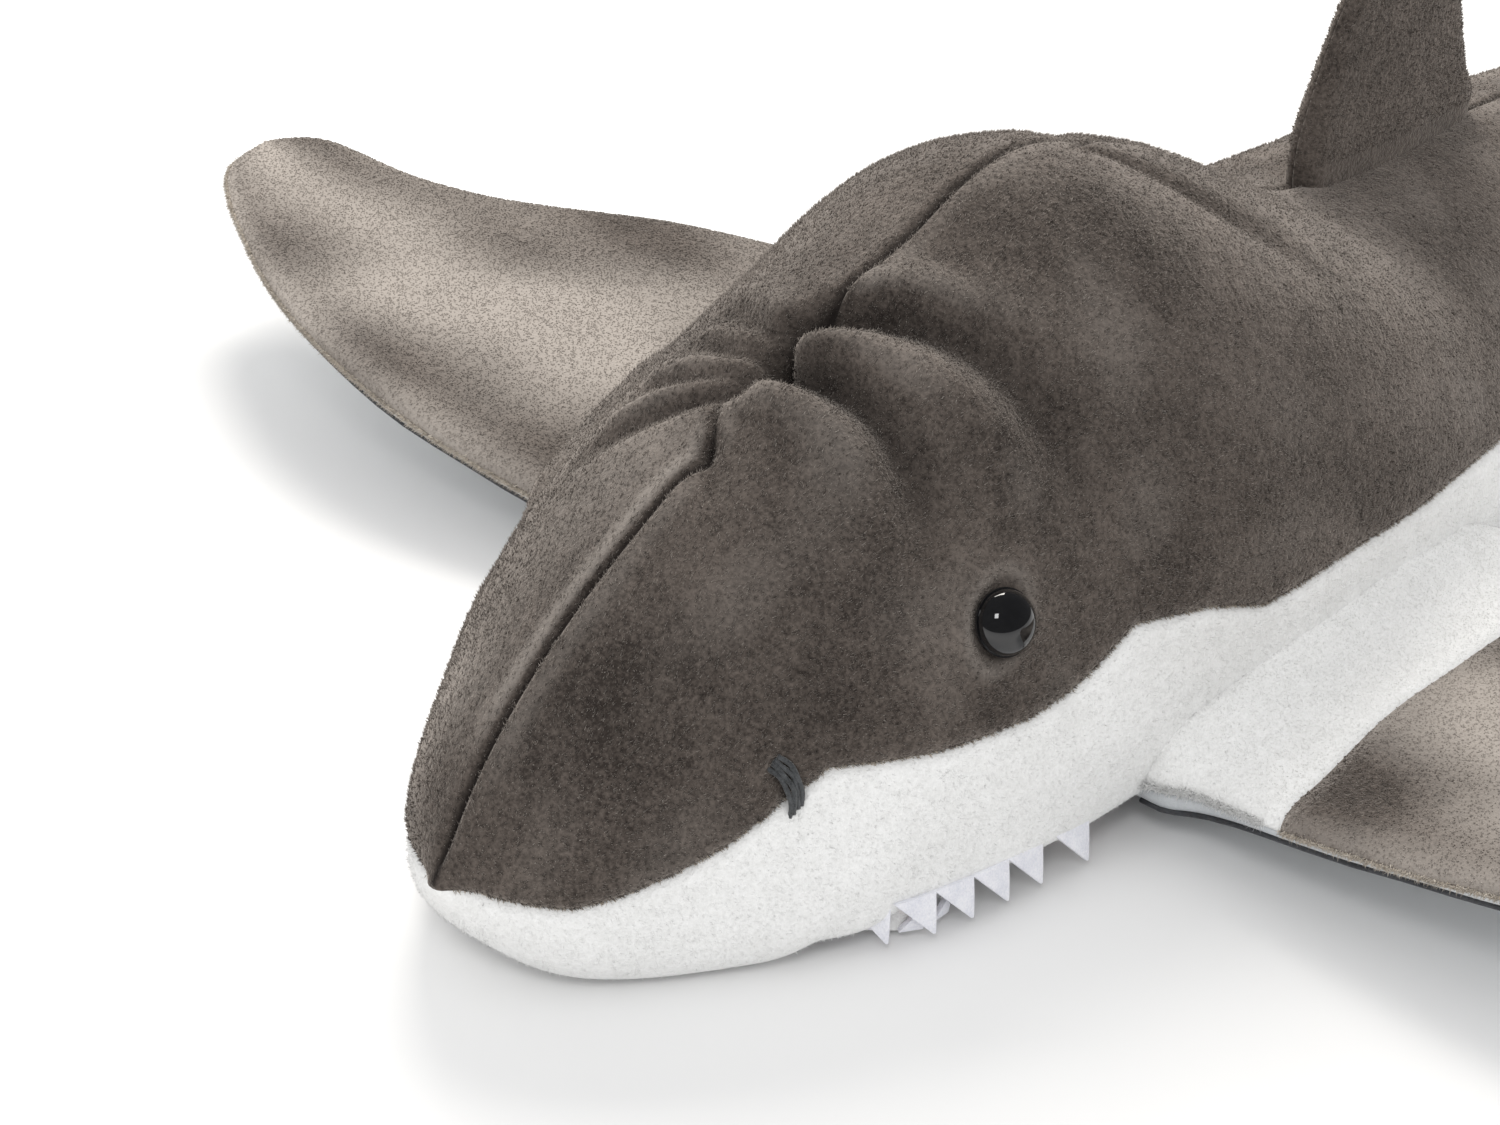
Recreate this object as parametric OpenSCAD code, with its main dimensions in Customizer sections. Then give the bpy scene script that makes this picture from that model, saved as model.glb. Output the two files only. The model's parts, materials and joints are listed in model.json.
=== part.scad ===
// Stuffed plush shark lying on its belly.
// Frame: +X is the shark's left, -Y is where its nose points, +Z is up.
// The origin is under the middle of the shark, on the surface that it lies on.
// A "station" is a distance behind the nose tip. It is turned into Y only in at().

/* [Whole shark] */
// Nose tip to the root of the tail fin
trunk_length = 740; // [610:1:890]
// Root of the tail fin to its rear tip
tail_fin_length = 160; // [130:1:195]
// Width of the trunk where it is broadest
trunk_width = 208; // [172:1:250]
// Height of the shoulder hump
trunk_height = 176; // [146:1:212]

/* [Skin and filling] */
// Thickness of a plush panel with its pile pressed down
skin = 3; // [2:0.1:4]
// Clearance between a panel and the filling behind it
fill_gap = 0.5; // [0.3:0.1:0.8]
// Outer diameter of the pouch of weighting pellets
pouch_d = 90; // [70:1:100]
// Thickness of the pouch of weighting pellets
pouch_t = 34; // [24:1:40]

/* [Eyes and stitches] */
// Diameter of the domed safety eye
eye_d = 18.5; // [14:0.1:23]
// How far the eye's dome stands out of the plush
eye_dome = 7.5; // [5:0.5:9]
// Diameter of the eye's stem
eye_stem_d = 5; // [4:0.5:6]
// Length of the eye's stem behind its rim
eye_stem_len = 15; // [12:0.5:18]
// Outer diameter of the locking washer on the stem
washer_d = 17; // [14:0.5:20]
// Thickness of the locking washer
washer_t = 1.6; // [1:0.1:2.5]
// Diameter of a strand of the nostril thread
thread_d = 1.4; // [1:0.1:2]
// Height of a nostril stitch
nostril_h = 14; // [10:0.5:18]
// Station of the eyes
eye_s = 142; // [124:1:160]
// Station of the nostrils
nostril_s = 73; // [64:1:78]

/* [Mouth] */
// Station of the front of the mouth
mouth_front = 84; // [78:1:92]
// Station of the corners of the mouth
mouth_rear = 176; // [150:1:212]
// Height of the roof of the mouth above the floor
roof_h = 15; // [14:0.5:18]
// Thickness of the pink lining
lining_t = 1.2; // [0.8:0.1:2]
// Width of one felt tooth along the lip
tooth_w = 11.5; // [9:0.5:14]
// Height of an upper tooth
tooth_h = 10; // [7:0.5:11]
// Thickness of the tooth felt
tooth_t = 1.6; // [1:0.1:2]
// Gap between the teeth and the side of the jaw
jaw_gap = 3; // [2:0.5:5]
// How far the jaw stays above the floor
jaw_lift = 1.6; // [1:0.1:3]

/* [Pectoral fins] */
// Length of a pectoral fin outwards from its root
pectoral_span = 280; // [220:1:300]
// Chord of a pectoral fin at its root
pectoral_chord = 192; // [160:1:232]
// Station of the front of the root
pectoral_front = 188; // [180:1:205]
// Height of the root above the floor
pectoral_h = 26; // [22:1:34]
// Upward tilt of the fin at rest
pectoral_lift = 7; // [4:0.5:12]
// Thickness at the root
pectoral_t = 15; // [12:0.5:17]

/* [Dorsal and small fins] */
// Height of the dorsal fin above its root
dorsal_h = 112; // [90:1:130]
// Chord of the dorsal fin at its root
dorsal_chord = 108; // [90:1:120]
// Rear of the dorsal fin's root to the tail's fold
dorsal_setback = 96; // [80:1:120]
// Thickness of the dorsal fin at its root
dorsal_t = 14; // [12:0.5:16]
// Length of a pelvic fin outwards from its root
pelvic_span = 44; // [36:1:54]
// Chord of a pelvic fin at its root
pelvic_chord = 48; // [40:1:54]
// Height of the second dorsal and anal fins
small_fin_h = 22; // [16:1:26]
// Thickness of the pelvic, second dorsal and anal fins
small_fin_t = 8; // [6:0.5:9]

/* [Tail] */
// Length of the tail's stalk, from the fold where it swings to the tail fin
stalk_length = 140; // [116:1:170]
// Height of the upper tip of the tail fin
tail_top = 250; // [200:1:290]
// Height of the lower tip of the tail fin
tail_low = 8; // [4:1:16]
// Thickness of the tail fin at its root
tail_t = 20; // [16:0.5:24]
// Swing of each tail joint to one side
tail_swing = 25; // [10:1:30]

/* [Label] */
// Width of the blank sewn-in label
label_w = 22; // [16:1:30]
// Length of the label out of the seam
label_len = 34; // [24:1:44]

/* [Hidden] */

plush_grey = [0.33, 0.30, 0.28];
plush_white = [0.95, 0.95, 0.94];
felt_white = [0.93, 0.94, 0.97];
mouth_pink = [0.93, 0.68, 0.74];
lining_grey = [0.70, 0.72, 0.74];
fibre_white = [0.88, 0.88, 0.84];
eye_black = [0.04, 0.04, 0.05];
thread_grey = [0.20, 0.21, 0.22];

total_length = trunk_length + tail_fin_length;
tail_joint = trunk_length - stalk_length;
dorsal_front = tail_joint - dorsal_setback - dorsal_chord;
half_w = trunk_width / 2;
throat = mouth_rear + 18;            // where the cheek panels meet the belly panel
neck = throat - 34;                  // where the head panels meet the back panels
throat_slope = 0.32;                 // fall of the throat towards the belly
wedge = tan(tail_swing / 2 + 1);     // slope of the faces on each side of a tail fold
fold_gap = 1;                        // gap between those faces at the middle
wedge_reach = 46;                    // how far from a fold the sloping of the rings fades out
root_gap = 9;                        // skin of the trunk to the axis of a fin's root
edge_back = 2.5;                     // axis of a fin's root to the fin's own root edge

// Shape of the trunk: [station / length, half width, top, bottom, height of the widest level],
// with widths as shares of the half width and heights as shares of the hump's height.
// A bottom below nought is cut off level by the floor, which makes the flat belly.
trunk = [
    [0.000, 0.00, 0.205, 0.205, 0.205],
    [0.008, 0.16, 0.280, 0.130, 0.200],
    [0.027, 0.32, 0.385, 0.020, 0.175],
    [0.054, 0.46, 0.495, -0.03, 0.150],
    [0.104, 0.69, 0.640, -0.04, 0.105],
    [0.149, 0.82, 0.745, -0.04, 0.115],
    [0.203, 0.89, 0.845, -0.04, 0.145],
    [0.262, 0.94, 0.925, -0.04, 0.190],
    [0.324, 0.98, 1.000, -0.04, 0.250],
    [0.405, 1.00, 0.905, -0.04, 0.250],
    [0.460, 0.98, 0.790, -0.04, 0.240],
    [0.530, 0.93, 0.655, -0.04, 0.240],
    [0.650, 0.80, 0.635, -0.04, 0.250],
    [0.740, 0.66, 0.615, -0.03, 0.270],
    [0.811, 0.52, 0.595, 0.060, 0.310],
    [0.865, 0.42, 0.580, 0.130, 0.350],
    [0.946, 0.28, 0.565, 0.270, 0.420],
    [1.000, 0.22, 0.565, 0.340, 0.450]
];
// Height of the seam between grey and white plush: [station / length, share of height]
seam = [
    [0.000, 0.205], [0.010, 0.165], [0.023, 0.178], [0.040, 0.195], [0.066, 0.235], [0.089, 0.285],
    [0.099, 0.325], [0.114, 0.350], [0.157, 0.330], [0.204, 0.330], [0.231, 0.365], [0.254, 0.405],
    [0.285, 0.390], [0.326, 0.335], [0.460, 0.310], [0.757, 0.330], [1.000, 0.450]
];

// ---- numbers that the shape needs ----
function at(x, s, z) = [x, s - total_length / 2, z];
function clamp01(v) = max(0, min(1, v));
function knot(t, c, u, i = 0) = (i >= len(t) - 2 || t[i + 1][0] >= u) ? i : knot(t, c, u, i + 1);
function slope(t, c, i) = i == 0 || i == len(t) - 1
    ? 0.5 * (t[min(i + 1, len(t) - 1)][c] - t[max(i - 1, 0)][c])
        / (t[min(i + 1, len(t) - 1)][0] - t[max(i - 1, 0)][0])
    : (t[i + 1][c] - t[i - 1][c]) / (t[i + 1][0] - t[i - 1][0]);
// Smooth curve through column c of a table, at share u of the length
function curve(t, c, u) =
    let (i = knot(t, c, u), d = t[i + 1][0] - t[i][0], k = clamp01((u - t[i][0]) / d))
    (2 * k * k * k - 3 * k * k + 1) * t[i][c] + (k * k * k - 2 * k * k + k) * d * slope(t, c, i)
    + (3 * k * k - 2 * k * k * k) * t[i + 1][c] + (k * k * k - k * k) * d * slope(t, c, i + 1);
function column(c) = [for (row = trunk) [row[0], row[c]]];
function wide(s) = half_w * curve(trunk, 1, s / trunk_length);
function top(s) = trunk_height * curve(trunk, 2, s / trunk_length);
// Over the mouth the underside is at the roof's height, and behind it the throat slopes down
function bottom(s) = max(trunk_height * lookup(s / trunk_length, column(3)),
    s <= mouth_front ? -half_w : s <= throat ? roof_h : roof_h - (s - throat) * throat_slope);
function level(s) = max(trunk_height * lookup(s / trunk_length, column(4)), bottom(s) + 3);
function seam_h(s) = trunk_height * lookup(s / trunk_length, seam);
// Angle round the section at which the seam lies, 0 at the widest level and 90 at the top
function seam_a(s) = asin(clamp01((seam_h(s) - level(s)) / max(1, top(s) - level(s))));

// Point of the trunk's skin on the left, at a station, an angle from -90 to 90 and a depth
function skin_point(s, a, depth) =
    let (w = max(0.01, wide(s) - depth), up = max(0.01, top(s) - level(s) - depth),
         down = max(0.01, level(s) - bottom(s) - depth))
    a >= 0 ? [w * cos(a), level(s) + up * sin(a)]
           : [w * pow(cos(a), 2 / 3), max(depth, level(s) - down * pow(-sin(a), 2 / 3))];
// The rings near a tail fold lean to make room for its swing
function lean(s, x) =
    let (torso_side = s <= tail_joint, near_tail = abs(s - tail_joint),
         near_fin = abs(s - trunk_length))
    near_tail < wedge_reach
        ? (torso_side ? -1 : 1) * abs(x) * wedge * (1 - near_tail / wedge_reach)
    : near_fin < wedge_reach ? -abs(x) * wedge * (1 - near_fin / wedge_reach)
    : 0;
function trunk_point(s, a, depth, side = 1) =
    let (p = skin_point(s, a, depth)) at(side * p[0], s + lean(s, p[0]), p[1]);
function unit(v) = v / norm(v);
function trunk_normal(s, a) =
    unit(cross(trunk_point(s + 1, a, 0) - trunk_point(s - 1, a, 0),
               trunk_point(s, a + 1, 0) - trunk_point(s, a - 1, 0)));

// ---- solids made from grids of points ----
// Faces of a closed sheet: outer[i][j] and inner[i][j] are grids of m by n points
function sheet_faces(m, n) =
    let (o = m * n)
    concat(
        [for (i = [0 : m - 2], j = [0 : n - 2]) each [
            [i * n + j, i * n + j + 1, (i + 1) * n + j + 1],
            [i * n + j, (i + 1) * n + j + 1, (i + 1) * n + j],
            [o + i * n + j, o + (i + 1) * n + j + 1, o + i * n + j + 1],
            [o + i * n + j, o + (i + 1) * n + j, o + (i + 1) * n + j + 1]]],
        [for (i = [0 : m - 2]) each [
            [i * n, (i + 1) * n, o + (i + 1) * n], [i * n, o + (i + 1) * n, o + i * n],
            [i * n + n - 1, o + (i + 1) * n + n - 1, (i + 1) * n + n - 1],
            [i * n + n - 1, o + i * n + n - 1, o + (i + 1) * n + n - 1]]],
        [for (j = [0 : n - 2]) each [
            [j, o + j + 1, j + 1], [j, o + j, o + j + 1],
            [(m - 1) * n + j, (m - 1) * n + j + 1, o + (m - 1) * n + j + 1],
            [(m - 1) * n + j, o + (m - 1) * n + j + 1, o + (m - 1) * n + j]]]);
module sheet(outer, inner) {
    m = len(outer);
    n = len(outer[0]);
    polyhedron(points = [for (g = [outer, inner], row = g, p = row) p],
               faces = sheet_faces(m, n), convexity = 6);
}
// Closed solid from rings of equal length, with a fan at each end
module loft(rings) {
    m = len(rings);
    n = len(rings[0]);
    polyhedron(
        points = concat([for (row = rings, p = row) p],
                        [mean(rings[0]), mean(rings[m - 1])]),
        faces = concat(
            [for (i = [0 : m - 2], j = [0 : n - 1]) let (k = (j + 1) % n) each [
                [i * n + j, (i + 1) * n + k, i * n + k],
                [i * n + j, (i + 1) * n + j, (i + 1) * n + k]]],
            [for (j = [0 : n - 1]) let (k = (j + 1) % n) each [
                [m * n, j, k], [m * n + 1, (m - 1) * n + k, (m - 1) * n + j]]]),
        convexity = 6);
}
function total(v, i = 0) = i == len(v) - 1 ? v[i] : v[i] + total(v, i + 1);
function mean(v) = total(v) / len(v);

// ---- trunk ----
high_rows = 8;                       // rows of facets in a grey panel of the trunk
low_rows = 8;                        // and in a white one
tail_rows = 6;                       // and in the panels of the tail
function stations(a, b, n) = [for (i = [0 : n]) a + (b - a) * i / n];
// Plush panel of the left side between two angles, over a list of stations
module upper_patch(list, n) {
    function grid(d) = [for (s = list)
        [for (j = [0 : n]) trunk_point(s, seam_a(s) + (90 - seam_a(s)) * j / n, d)]];
    sheet(grid(0), grid(skin));
}
module lower_patch(list, n) {
    function grid(d) = [for (s = list)
        [for (j = [0 : n]) trunk_point(s, -90 + (90 + seam_a(s)) * j / n, d)]];
    sheet(grid(0), grid(skin));
}
// White panel that runs under the trunk from seam to seam
module under_patch(list, n) {
    function across(s, d) = concat(
        [for (j = [0 : n - 1]) trunk_point(s, seam_a(s) - (90 + seam_a(s)) * j / n, d, -1)],
        [for (j = [0 : n]) trunk_point(s, -90 + (90 + seam_a(s)) * j / n, d)]);
    sheet([for (s = list) across(s, 0)], [for (s = list) across(s, skin)]);
}
// Filling in rings that match the panels' own rows, so that their facets run side by side
module filling(list, low_n, high_n) {
    d = skin + fill_gap;
    function rows(s) = concat(
        [for (j = [0 : low_n - 1]) -90 + (90 + seam_a(s)) * j / low_n],
        [for (j = [0 : high_n]) seam_a(s) + (90 - seam_a(s)) * j / high_n]);
    loft([for (s = list) let (a = rows(s), n = len(a)) concat(
        [for (j = [0 : n - 1]) trunk_point(s, a[j], d)],
        [for (j = [n - 2 : -1 : 1]) trunk_point(s, a[j], d, -1)])]);
}
function within(list, a, b) = [for (s = list) if (s >= a && s <= b) s];
fill_back = 6;                       // a filling's end in from the end of its panels
head_fill_end = throat - fill_back;
front_list = concat([1.5, 5, 11, 20], stations(30, mouth_front - 0.5, 4),
                    stations(mouth_front + 0.5, neck, 5));
neck_list = concat(stations(neck, head_fill_end, 3), [head_fill_end + 1]);
torso_list = concat(stations(throat, tail_joint - fill_back, 17), [tail_joint - fold_gap / 2]);
tail_list = concat([tail_joint + fold_gap / 2], stations(tail_joint + fill_back, trunk_length - fill_back, 7),
                   [trunk_length - fold_gap / 2]);
back_list = concat(neck_list, torso_list);
cheek_list = concat(front_list, [for (s = neck_list) if (s > neck) s], [throat]);

// ---- eyes and stitches ----
eye_a = 31;                  // angle round the section at which the eye sits
nostril_share = 0.29;        // height of a nostril as a share of the hump's
module on_skin(s, a, side) {
    p = trunk_point(s, a, 0);
    v = trunk_normal(s, a);
    mirror([side < 0 ? 1 : 0, 0, 0])
        translate(p) rotate([0, acos(v[2]), atan2(v[1], v[0])]) children();
}
rim_t = 1.2;                 // thickness of the eye's rim
eye_seat = 0.7;              // pressed pile between the rim and the panel's curve
stem_clear = 0.2;            // clearance round the stem in the plush and filling
washer_depth = skin + 0.9;   // washer's outer face behind the plush's face
module safety_eye(side) {
    color(eye_black) on_skin(eye_s, eye_a, side) translate([0, 0, eye_seat]) {
        intersection() {
            translate([0, 0, eye_dome - ball_r]) sphere(r = ball_r, $fn = 64);
            translate([0, 0, rim_t]) cylinder(h = eye_dome, d = eye_d, $fn = 64);
        }
        cylinder(h = rim_t, d = eye_d, $fn = 64);
        translate([0, 0, -eye_stem_len]) cylinder(h = eye_stem_len, d = eye_stem_d, $fn = 32);
    }
}
cap_h = eye_dome - rim_t;
ball_r = (eye_d * eye_d / 4 + cap_h * cap_h) / (2 * cap_h);
module locking_washer(side) {
    color(fibre_white) on_skin(eye_s, eye_a, side)
        translate([0, 0, -washer_depth - washer_t]) difference() {
            cylinder(h = washer_t, d = washer_d, $fn = 48);
            translate([0, 0, -1]) cylinder(h = washer_t + 2, d = eye_stem_d + 2 * stem_clear, $fn = 32);
        }
}
module stem_hole(side) {
    on_skin(eye_s, eye_a, side)
        translate([0, 0, -eye_stem_len - 2])
            cylinder(h = eye_stem_len + 4, d = eye_stem_d + 2 * stem_clear, $fn = 32);
}
module washer_room(side) {
    on_skin(eye_s, eye_a, side)
        translate([0, 0, -washer_depth - washer_t - 1])
            cylinder(h = washer_t + washer_depth, d = washer_d + 2, $fn = 48);
}
module nostril_stitches(side) {
    over = nostril_share * trunk_height - level(nostril_s);
    a = asin(clamp01(over / (top(nostril_s) - level(nostril_s))));
    color(thread_grey) on_skin(nostril_s, a, side)
        for (i = [-1 : 1]) translate([0, i * thread_d * 1.15, thread_d / 2 + 0.2])
            rotate([0, 90, 0]) {
                translate([0, 0, -nostril_h / 2])
                    cylinder(h = nostril_h, d = thread_d, $fn = 16);
                for (k = [-1, 1]) translate([0, 0, k * nostril_h / 2])
                    sphere(d = thread_d, $fn = 16);
            }
}

// ---- mouth ----
// Half width of the mouth at share k of its length, 0 at the front and 1 at the corners
lip_in = 2;                       // lip's edge in from the widest level of the cheek
mouth_w = wide(mouth_rear) - lip_in;
// Plan of the lip moved in by a margin m, at share k of the way from its middle to its corner.
// The front of the lip has its own margin, and its sides stay under the cheeks.
function lip_point(k, m, front) =
    let (s = mouth_front + front + (mouth_rear - mouth_front - front) * (1 - pow(cos(90 * k), 0.5)))
    [min((mouth_w - m) * pow(sin(90 * k), 0.5), wide(s) - lip_in - m), s];
lip_steps = 16;
module mouth_plan(m, front, rear) {
    half = [for (i = [0 : lip_steps]) lip_point(i / lip_steps, m, front)];
    back = rear - total_length / 2;
    polygon(concat([for (p = half) [p[0], p[1] - total_length / 2]],
        [[half[lip_steps][0], back], [-half[lip_steps][0], back]],
        [for (i = [lip_steps : -1 : 1]) [-half[i][0], half[i][1] - total_length / 2]]));
}
// Length along the lip from its middle to each of many shares k, to space the teeth evenly
fine_steps = 60;
function lip_run(m, f, i = 0, sum = 0) = i > fine_steps ? []
    : let (step = i == 0 ? 0 : norm(lip_point(i / fine_steps, m, f) - lip_point((i - 1) / fine_steps, m, f)))
      concat([[sum + step, i / fine_steps]], lip_run(m, f, i + 1, sum + step));
function row_shares(m, f, pitch) =
    let (run = lip_run(m, f), len = run[fine_steps][0], n = floor((len - 2) / pitch))
    [for (i = [0 : n - 1]) lookup((i + 0.5) * len / n, run)];
// Puts a tooth's middle on the lip's plan, turned along it
module on_lip(k, m, f, z) {
    p = lip_point(k, m, f);
    run = lip_point(min(1, k + 0.02), m, f) - lip_point(max(0, k - 0.02), m, f);
    translate(at(p[0], p[1], z)) rotate([0, 0, atan2(run[1], run[0])]) children();
}
module palate_lining() {
    color(mouth_pink) translate([0, 0, roof_h - lining_t - 0.4])
        linear_extrude(height = lining_t) mouth_plan(2, 2, mouth_rear + 4);
}
module tooth(w, h) {
    rotate([90, 0, 0]) translate([0, 0, -tooth_t / 2])
        linear_extrude(height = tooth_t) polygon([[-w / 2, 0], [w / 2, 0], [w * 0.28, -h]]);
}
tooth_top = roof_h - lining_t - 0.6;
tooth_space = 1.5;                // least space between two teeth at their roots
tooth_in = 1.2;                   // middle of the upper teeth in from the lip
tooth_back = tooth_t / 2 + 1.5;   // front teeth's middle behind the wall in front of the mouth
module upper_teeth(side) {
    color(felt_white) mirror([side < 0 ? 1 : 0, 0, 0])
        for (k = row_shares(tooth_in, tooth_back, tooth_w + tooth_space))
            on_lip(k, tooth_in, tooth_back, tooth_top) tooth(tooth_w, tooth_h);
}
front_room = 2;                   // further room in front of the jaw than at its sides
jaw_m = tooth_in + tooth_t / 2 + jaw_gap;     // jaw's side in from the lip
jaw_rear = mouth_rear + skin + 2;
jaw_top = roof_h - lining_t - 2;
module jaw_panel() {
    color(plush_white) translate([0, 0, jaw_lift]) difference() {
        linear_extrude(height = jaw_top - jaw_lift - lining_t - 0.2)
            mouth_plan(jaw_m, jaw_m + front_room, jaw_rear);
        translate([0, 0, skin]) linear_extrude(height = jaw_top)
            mouth_plan(jaw_m + skin, jaw_m + front_room + skin, jaw_rear - skin);
    }
}
fill_m = jaw_m + skin + fill_gap;
module jaw_filling() {
    color(fibre_white) translate([0, 0, jaw_lift + skin + fill_gap])
        linear_extrude(height = jaw_top - jaw_lift - skin - lining_t - 2 * fill_gap - 0.2)
            mouth_plan(fill_m, fill_m + front_room, jaw_rear - skin - fill_gap);
}
module jaw_lining() {
    color(mouth_pink) translate([0, 0, jaw_top - lining_t])
        linear_extrude(height = lining_t) mouth_plan(jaw_m, jaw_m + front_room, jaw_rear);
}
lower_tooth_h = 5;
lower_m = jaw_m - tooth_t / 2 - 0.2;
lower_front = lower_m + front_room;
module lower_teeth() {
    color(felt_white) for (side = [0, 1], k = row_shares(lower_m, lower_front, tooth_w * 0.9))
        if (k < 0.8) mirror([side, 0, 0]) on_lip(k, lower_m, lower_front, jaw_top - lower_tooth_h)
            mirror([0, 0, 1]) tooth(tooth_w * 0.6, lower_tooth_h);
}

// ---- fins ----
// A fin lies in its own XY plane: X runs outwards from the root and Y runs back along the chord.
// lead and trail are curves given by a few points; the root is at X = 0.
function bez(p, t) = len(p) == 1 ? p[0]
    : bez([for (i = [0 : len(p) - 2]) p[i] * (1 - t) + p[i + 1] * t], t);
function puff(k) = pow(max(0, 1 - pow(abs(2 * k - 1), 2.6)), 0.7);
chord_steps = 8;
span_steps = 10;
// Half thickness of a fin at share u of the chord and v of the span
function fin_half(t, cover, u, v) =
    cover + (t / 2 - cover) * puff(u) * pow(1 - v, 0.6) * clamp01(0.72 + 5 * v);
module fin_side(lead, trail, t, cover, face) {
    function grid(depth) = [for (i = [0 : span_steps]) let (v = i / span_steps,
        a = bez(lead, v), b = bez(trail, v))
        [for (j = [0 : chord_steps]) let (u = j / chord_steps, p = a + (b - a) * u)
            [p[0], p[1], face * (fin_half(t, cover, u, v) - depth)]]];
    if (face > 0) sheet(grid(0), grid(cover));
    else sheet(grid(cover), grid(0));
}
module fin_filling(lead, trail, t, cover) {
    function line(v, face) = let (a = bez(lead, v), b = bez(trail, v))
        [for (j = [1 : chord_steps - 1]) let (u = j / chord_steps, p = a + (b - a) * u)
            [p[0], p[1], face * max(0.2, fin_half(t, cover, u, v) - cover - fill_gap)]];
    rows = [for (i = [1 : span_steps - 2]) i / span_steps];
    sheet([for (v = rows) line(v, 1)], [for (v = rows) line(v, -1)]);
}
module whole_fin(lead, trail, t) {
    function grid(face) = [for (i = [0 : 6]) let (v = i / 6, a = bez(lead, v), b = bez(trail, v))
        [for (j = [0 : 6]) let (u = j / 6, p = a + (b - a) * u)
            [p[0], p[1], face * fin_half(t, t / 5, u, v)]]];
    sheet(grid(1), grid(-1));
}

// Pectoral fins
pec_lead = [[0, 0], [0.45, -0.12], [0.84, 0.02], [0.985, 0.34]];
pec_trail = [[0, 1.00], [0.45, 1.00], [0.72, 0.62], [1.00, 0.50]];
function scaled(p, a, b) = [for (q = p) [q[0] * a, q[1] * b]];
pec_a = scaled(pec_lead, pectoral_span, pectoral_chord);
pec_b = scaled(pec_trail, pectoral_span, pectoral_chord);
pec_x = half_w + root_gap;
module place_pectoral(side) {
    mirror([side < 0 ? 1 : 0, 0, 0]) translate(at(pec_x, pectoral_front, pectoral_h))
        rotate([0, -pectoral_lift, 0]) translate([-edge_back, 0, 0]) children();
}
module pectoral_top(side) {
    color(plush_grey) place_pectoral(side) fin_side(pec_a, pec_b, pectoral_t, skin, 1);
}
module pectoral_underside(side) {
    color(lining_grey) place_pectoral(side) fin_side(pec_a, pec_b, pectoral_t, skin, -1);
}
module pectoral_filling(side) {
    color(fibre_white) place_pectoral(side) fin_filling(pec_a, pec_b, pectoral_t, skin);
}

// Pelvic fins
pelvic_a = scaled([[0, 0], [0.6, 0.1], [1, 0.7]], pelvic_span, pelvic_chord);
pelvic_b = scaled([[0, 1], [0.5, 1.0], [1, 0.95]], pelvic_span, pelvic_chord);
pelvic_s = tail_joint - 92;
pelvic_x = wide(pelvic_s) + 2;
pelvic_z = 14;
module pelvic_fin(side) {
    color(plush_grey) mirror([side < 0 ? 1 : 0, 0, 0]) translate(at(pelvic_x, pelvic_s, pelvic_z))
        translate([-edge_back / 2, 0, 0]) whole_fin(pelvic_a, pelvic_b, small_fin_t);
}

// A fin that stands on the middle line: X of the fin becomes up and Y stays back
module stand(s, z, pitch) {
    translate(at(0, s, z)) rotate([pitch, 0, 0]) rotate([0, -90, 0]) children();
}
dorsal_a = scaled([[0, 0], [0.45, 0.10], [0.80, 0.55], [1, 0.92]], dorsal_h, dorsal_chord);
dorsal_b = scaled([[0, 1], [0.25, 0.86], [0.62, 0.88], [1, 1.06]], dorsal_h, dorsal_chord);
dorsal_rear = dorsal_front + dorsal_chord;
dorsal_clear = dorsal_t / 2 + 1.5;        // skin of the back to the axis of the dorsal fin's root
dorsal_pitch = atan2(top(dorsal_rear) - top(dorsal_front), dorsal_chord);
dorsal_z = max([for (k = [0 : 0.1 : 1])
    top(dorsal_front + k * dorsal_chord) - k * dorsal_chord * tan(dorsal_pitch)]) + dorsal_clear;
module place_dorsal() {
    stand(dorsal_front, dorsal_z, dorsal_pitch) translate([-edge_back, 0, 0]) children();
}
module dorsal_panel(face) {
    color(plush_grey) place_dorsal() fin_side(dorsal_a, dorsal_b, dorsal_t, skin, face);
}
module dorsal_filling() {
    color(fibre_white) place_dorsal() fin_filling(dorsal_a, dorsal_b, dorsal_t, skin);
}
small_a = scaled([[0, 0], [0.5, 0.3], [1, 0.95]], small_fin_h, 34);
small_b = scaled([[0, 1], [0.4, 0.85], [1, 1.1]], small_fin_h, 34);
small_s = trunk_length - 88;
small_gap = 0.6;
module second_dorsal_fin() {
    pitch = atan2(top(small_s + 34) - top(small_s), 34);
    color(plush_grey) stand(small_s, top(small_s) + small_gap + 0.6, pitch)
        whole_fin(small_a, small_b, small_fin_t);
}
module anal_fin() {
    pitch = atan2(bottom(small_s + 34) - bottom(small_s), 34);
    color(plush_grey) translate(at(0, small_s, bottom(small_s) - small_gap - 0.6))
        rotate([pitch, 0, 0]) rotate([0, 90, 0]) whole_fin(small_a, small_b, small_fin_t);
}

// Tail fin, drawn from its lower tip to its upper tip
fin_len = total_length - trunk_length;
root_low = bottom(trunk_length);
root_high = top(trunk_length);
root_s = trunk_length + fold_gap / 2 + 1;
low_tip = [trunk_length + fin_len * 0.62, tail_low];
high_tip = [total_length, tail_top];
fork = [trunk_length + fin_len * 0.54, root_high * 0.86];
tail_steps = 16;
fin_rows = 6;
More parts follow.
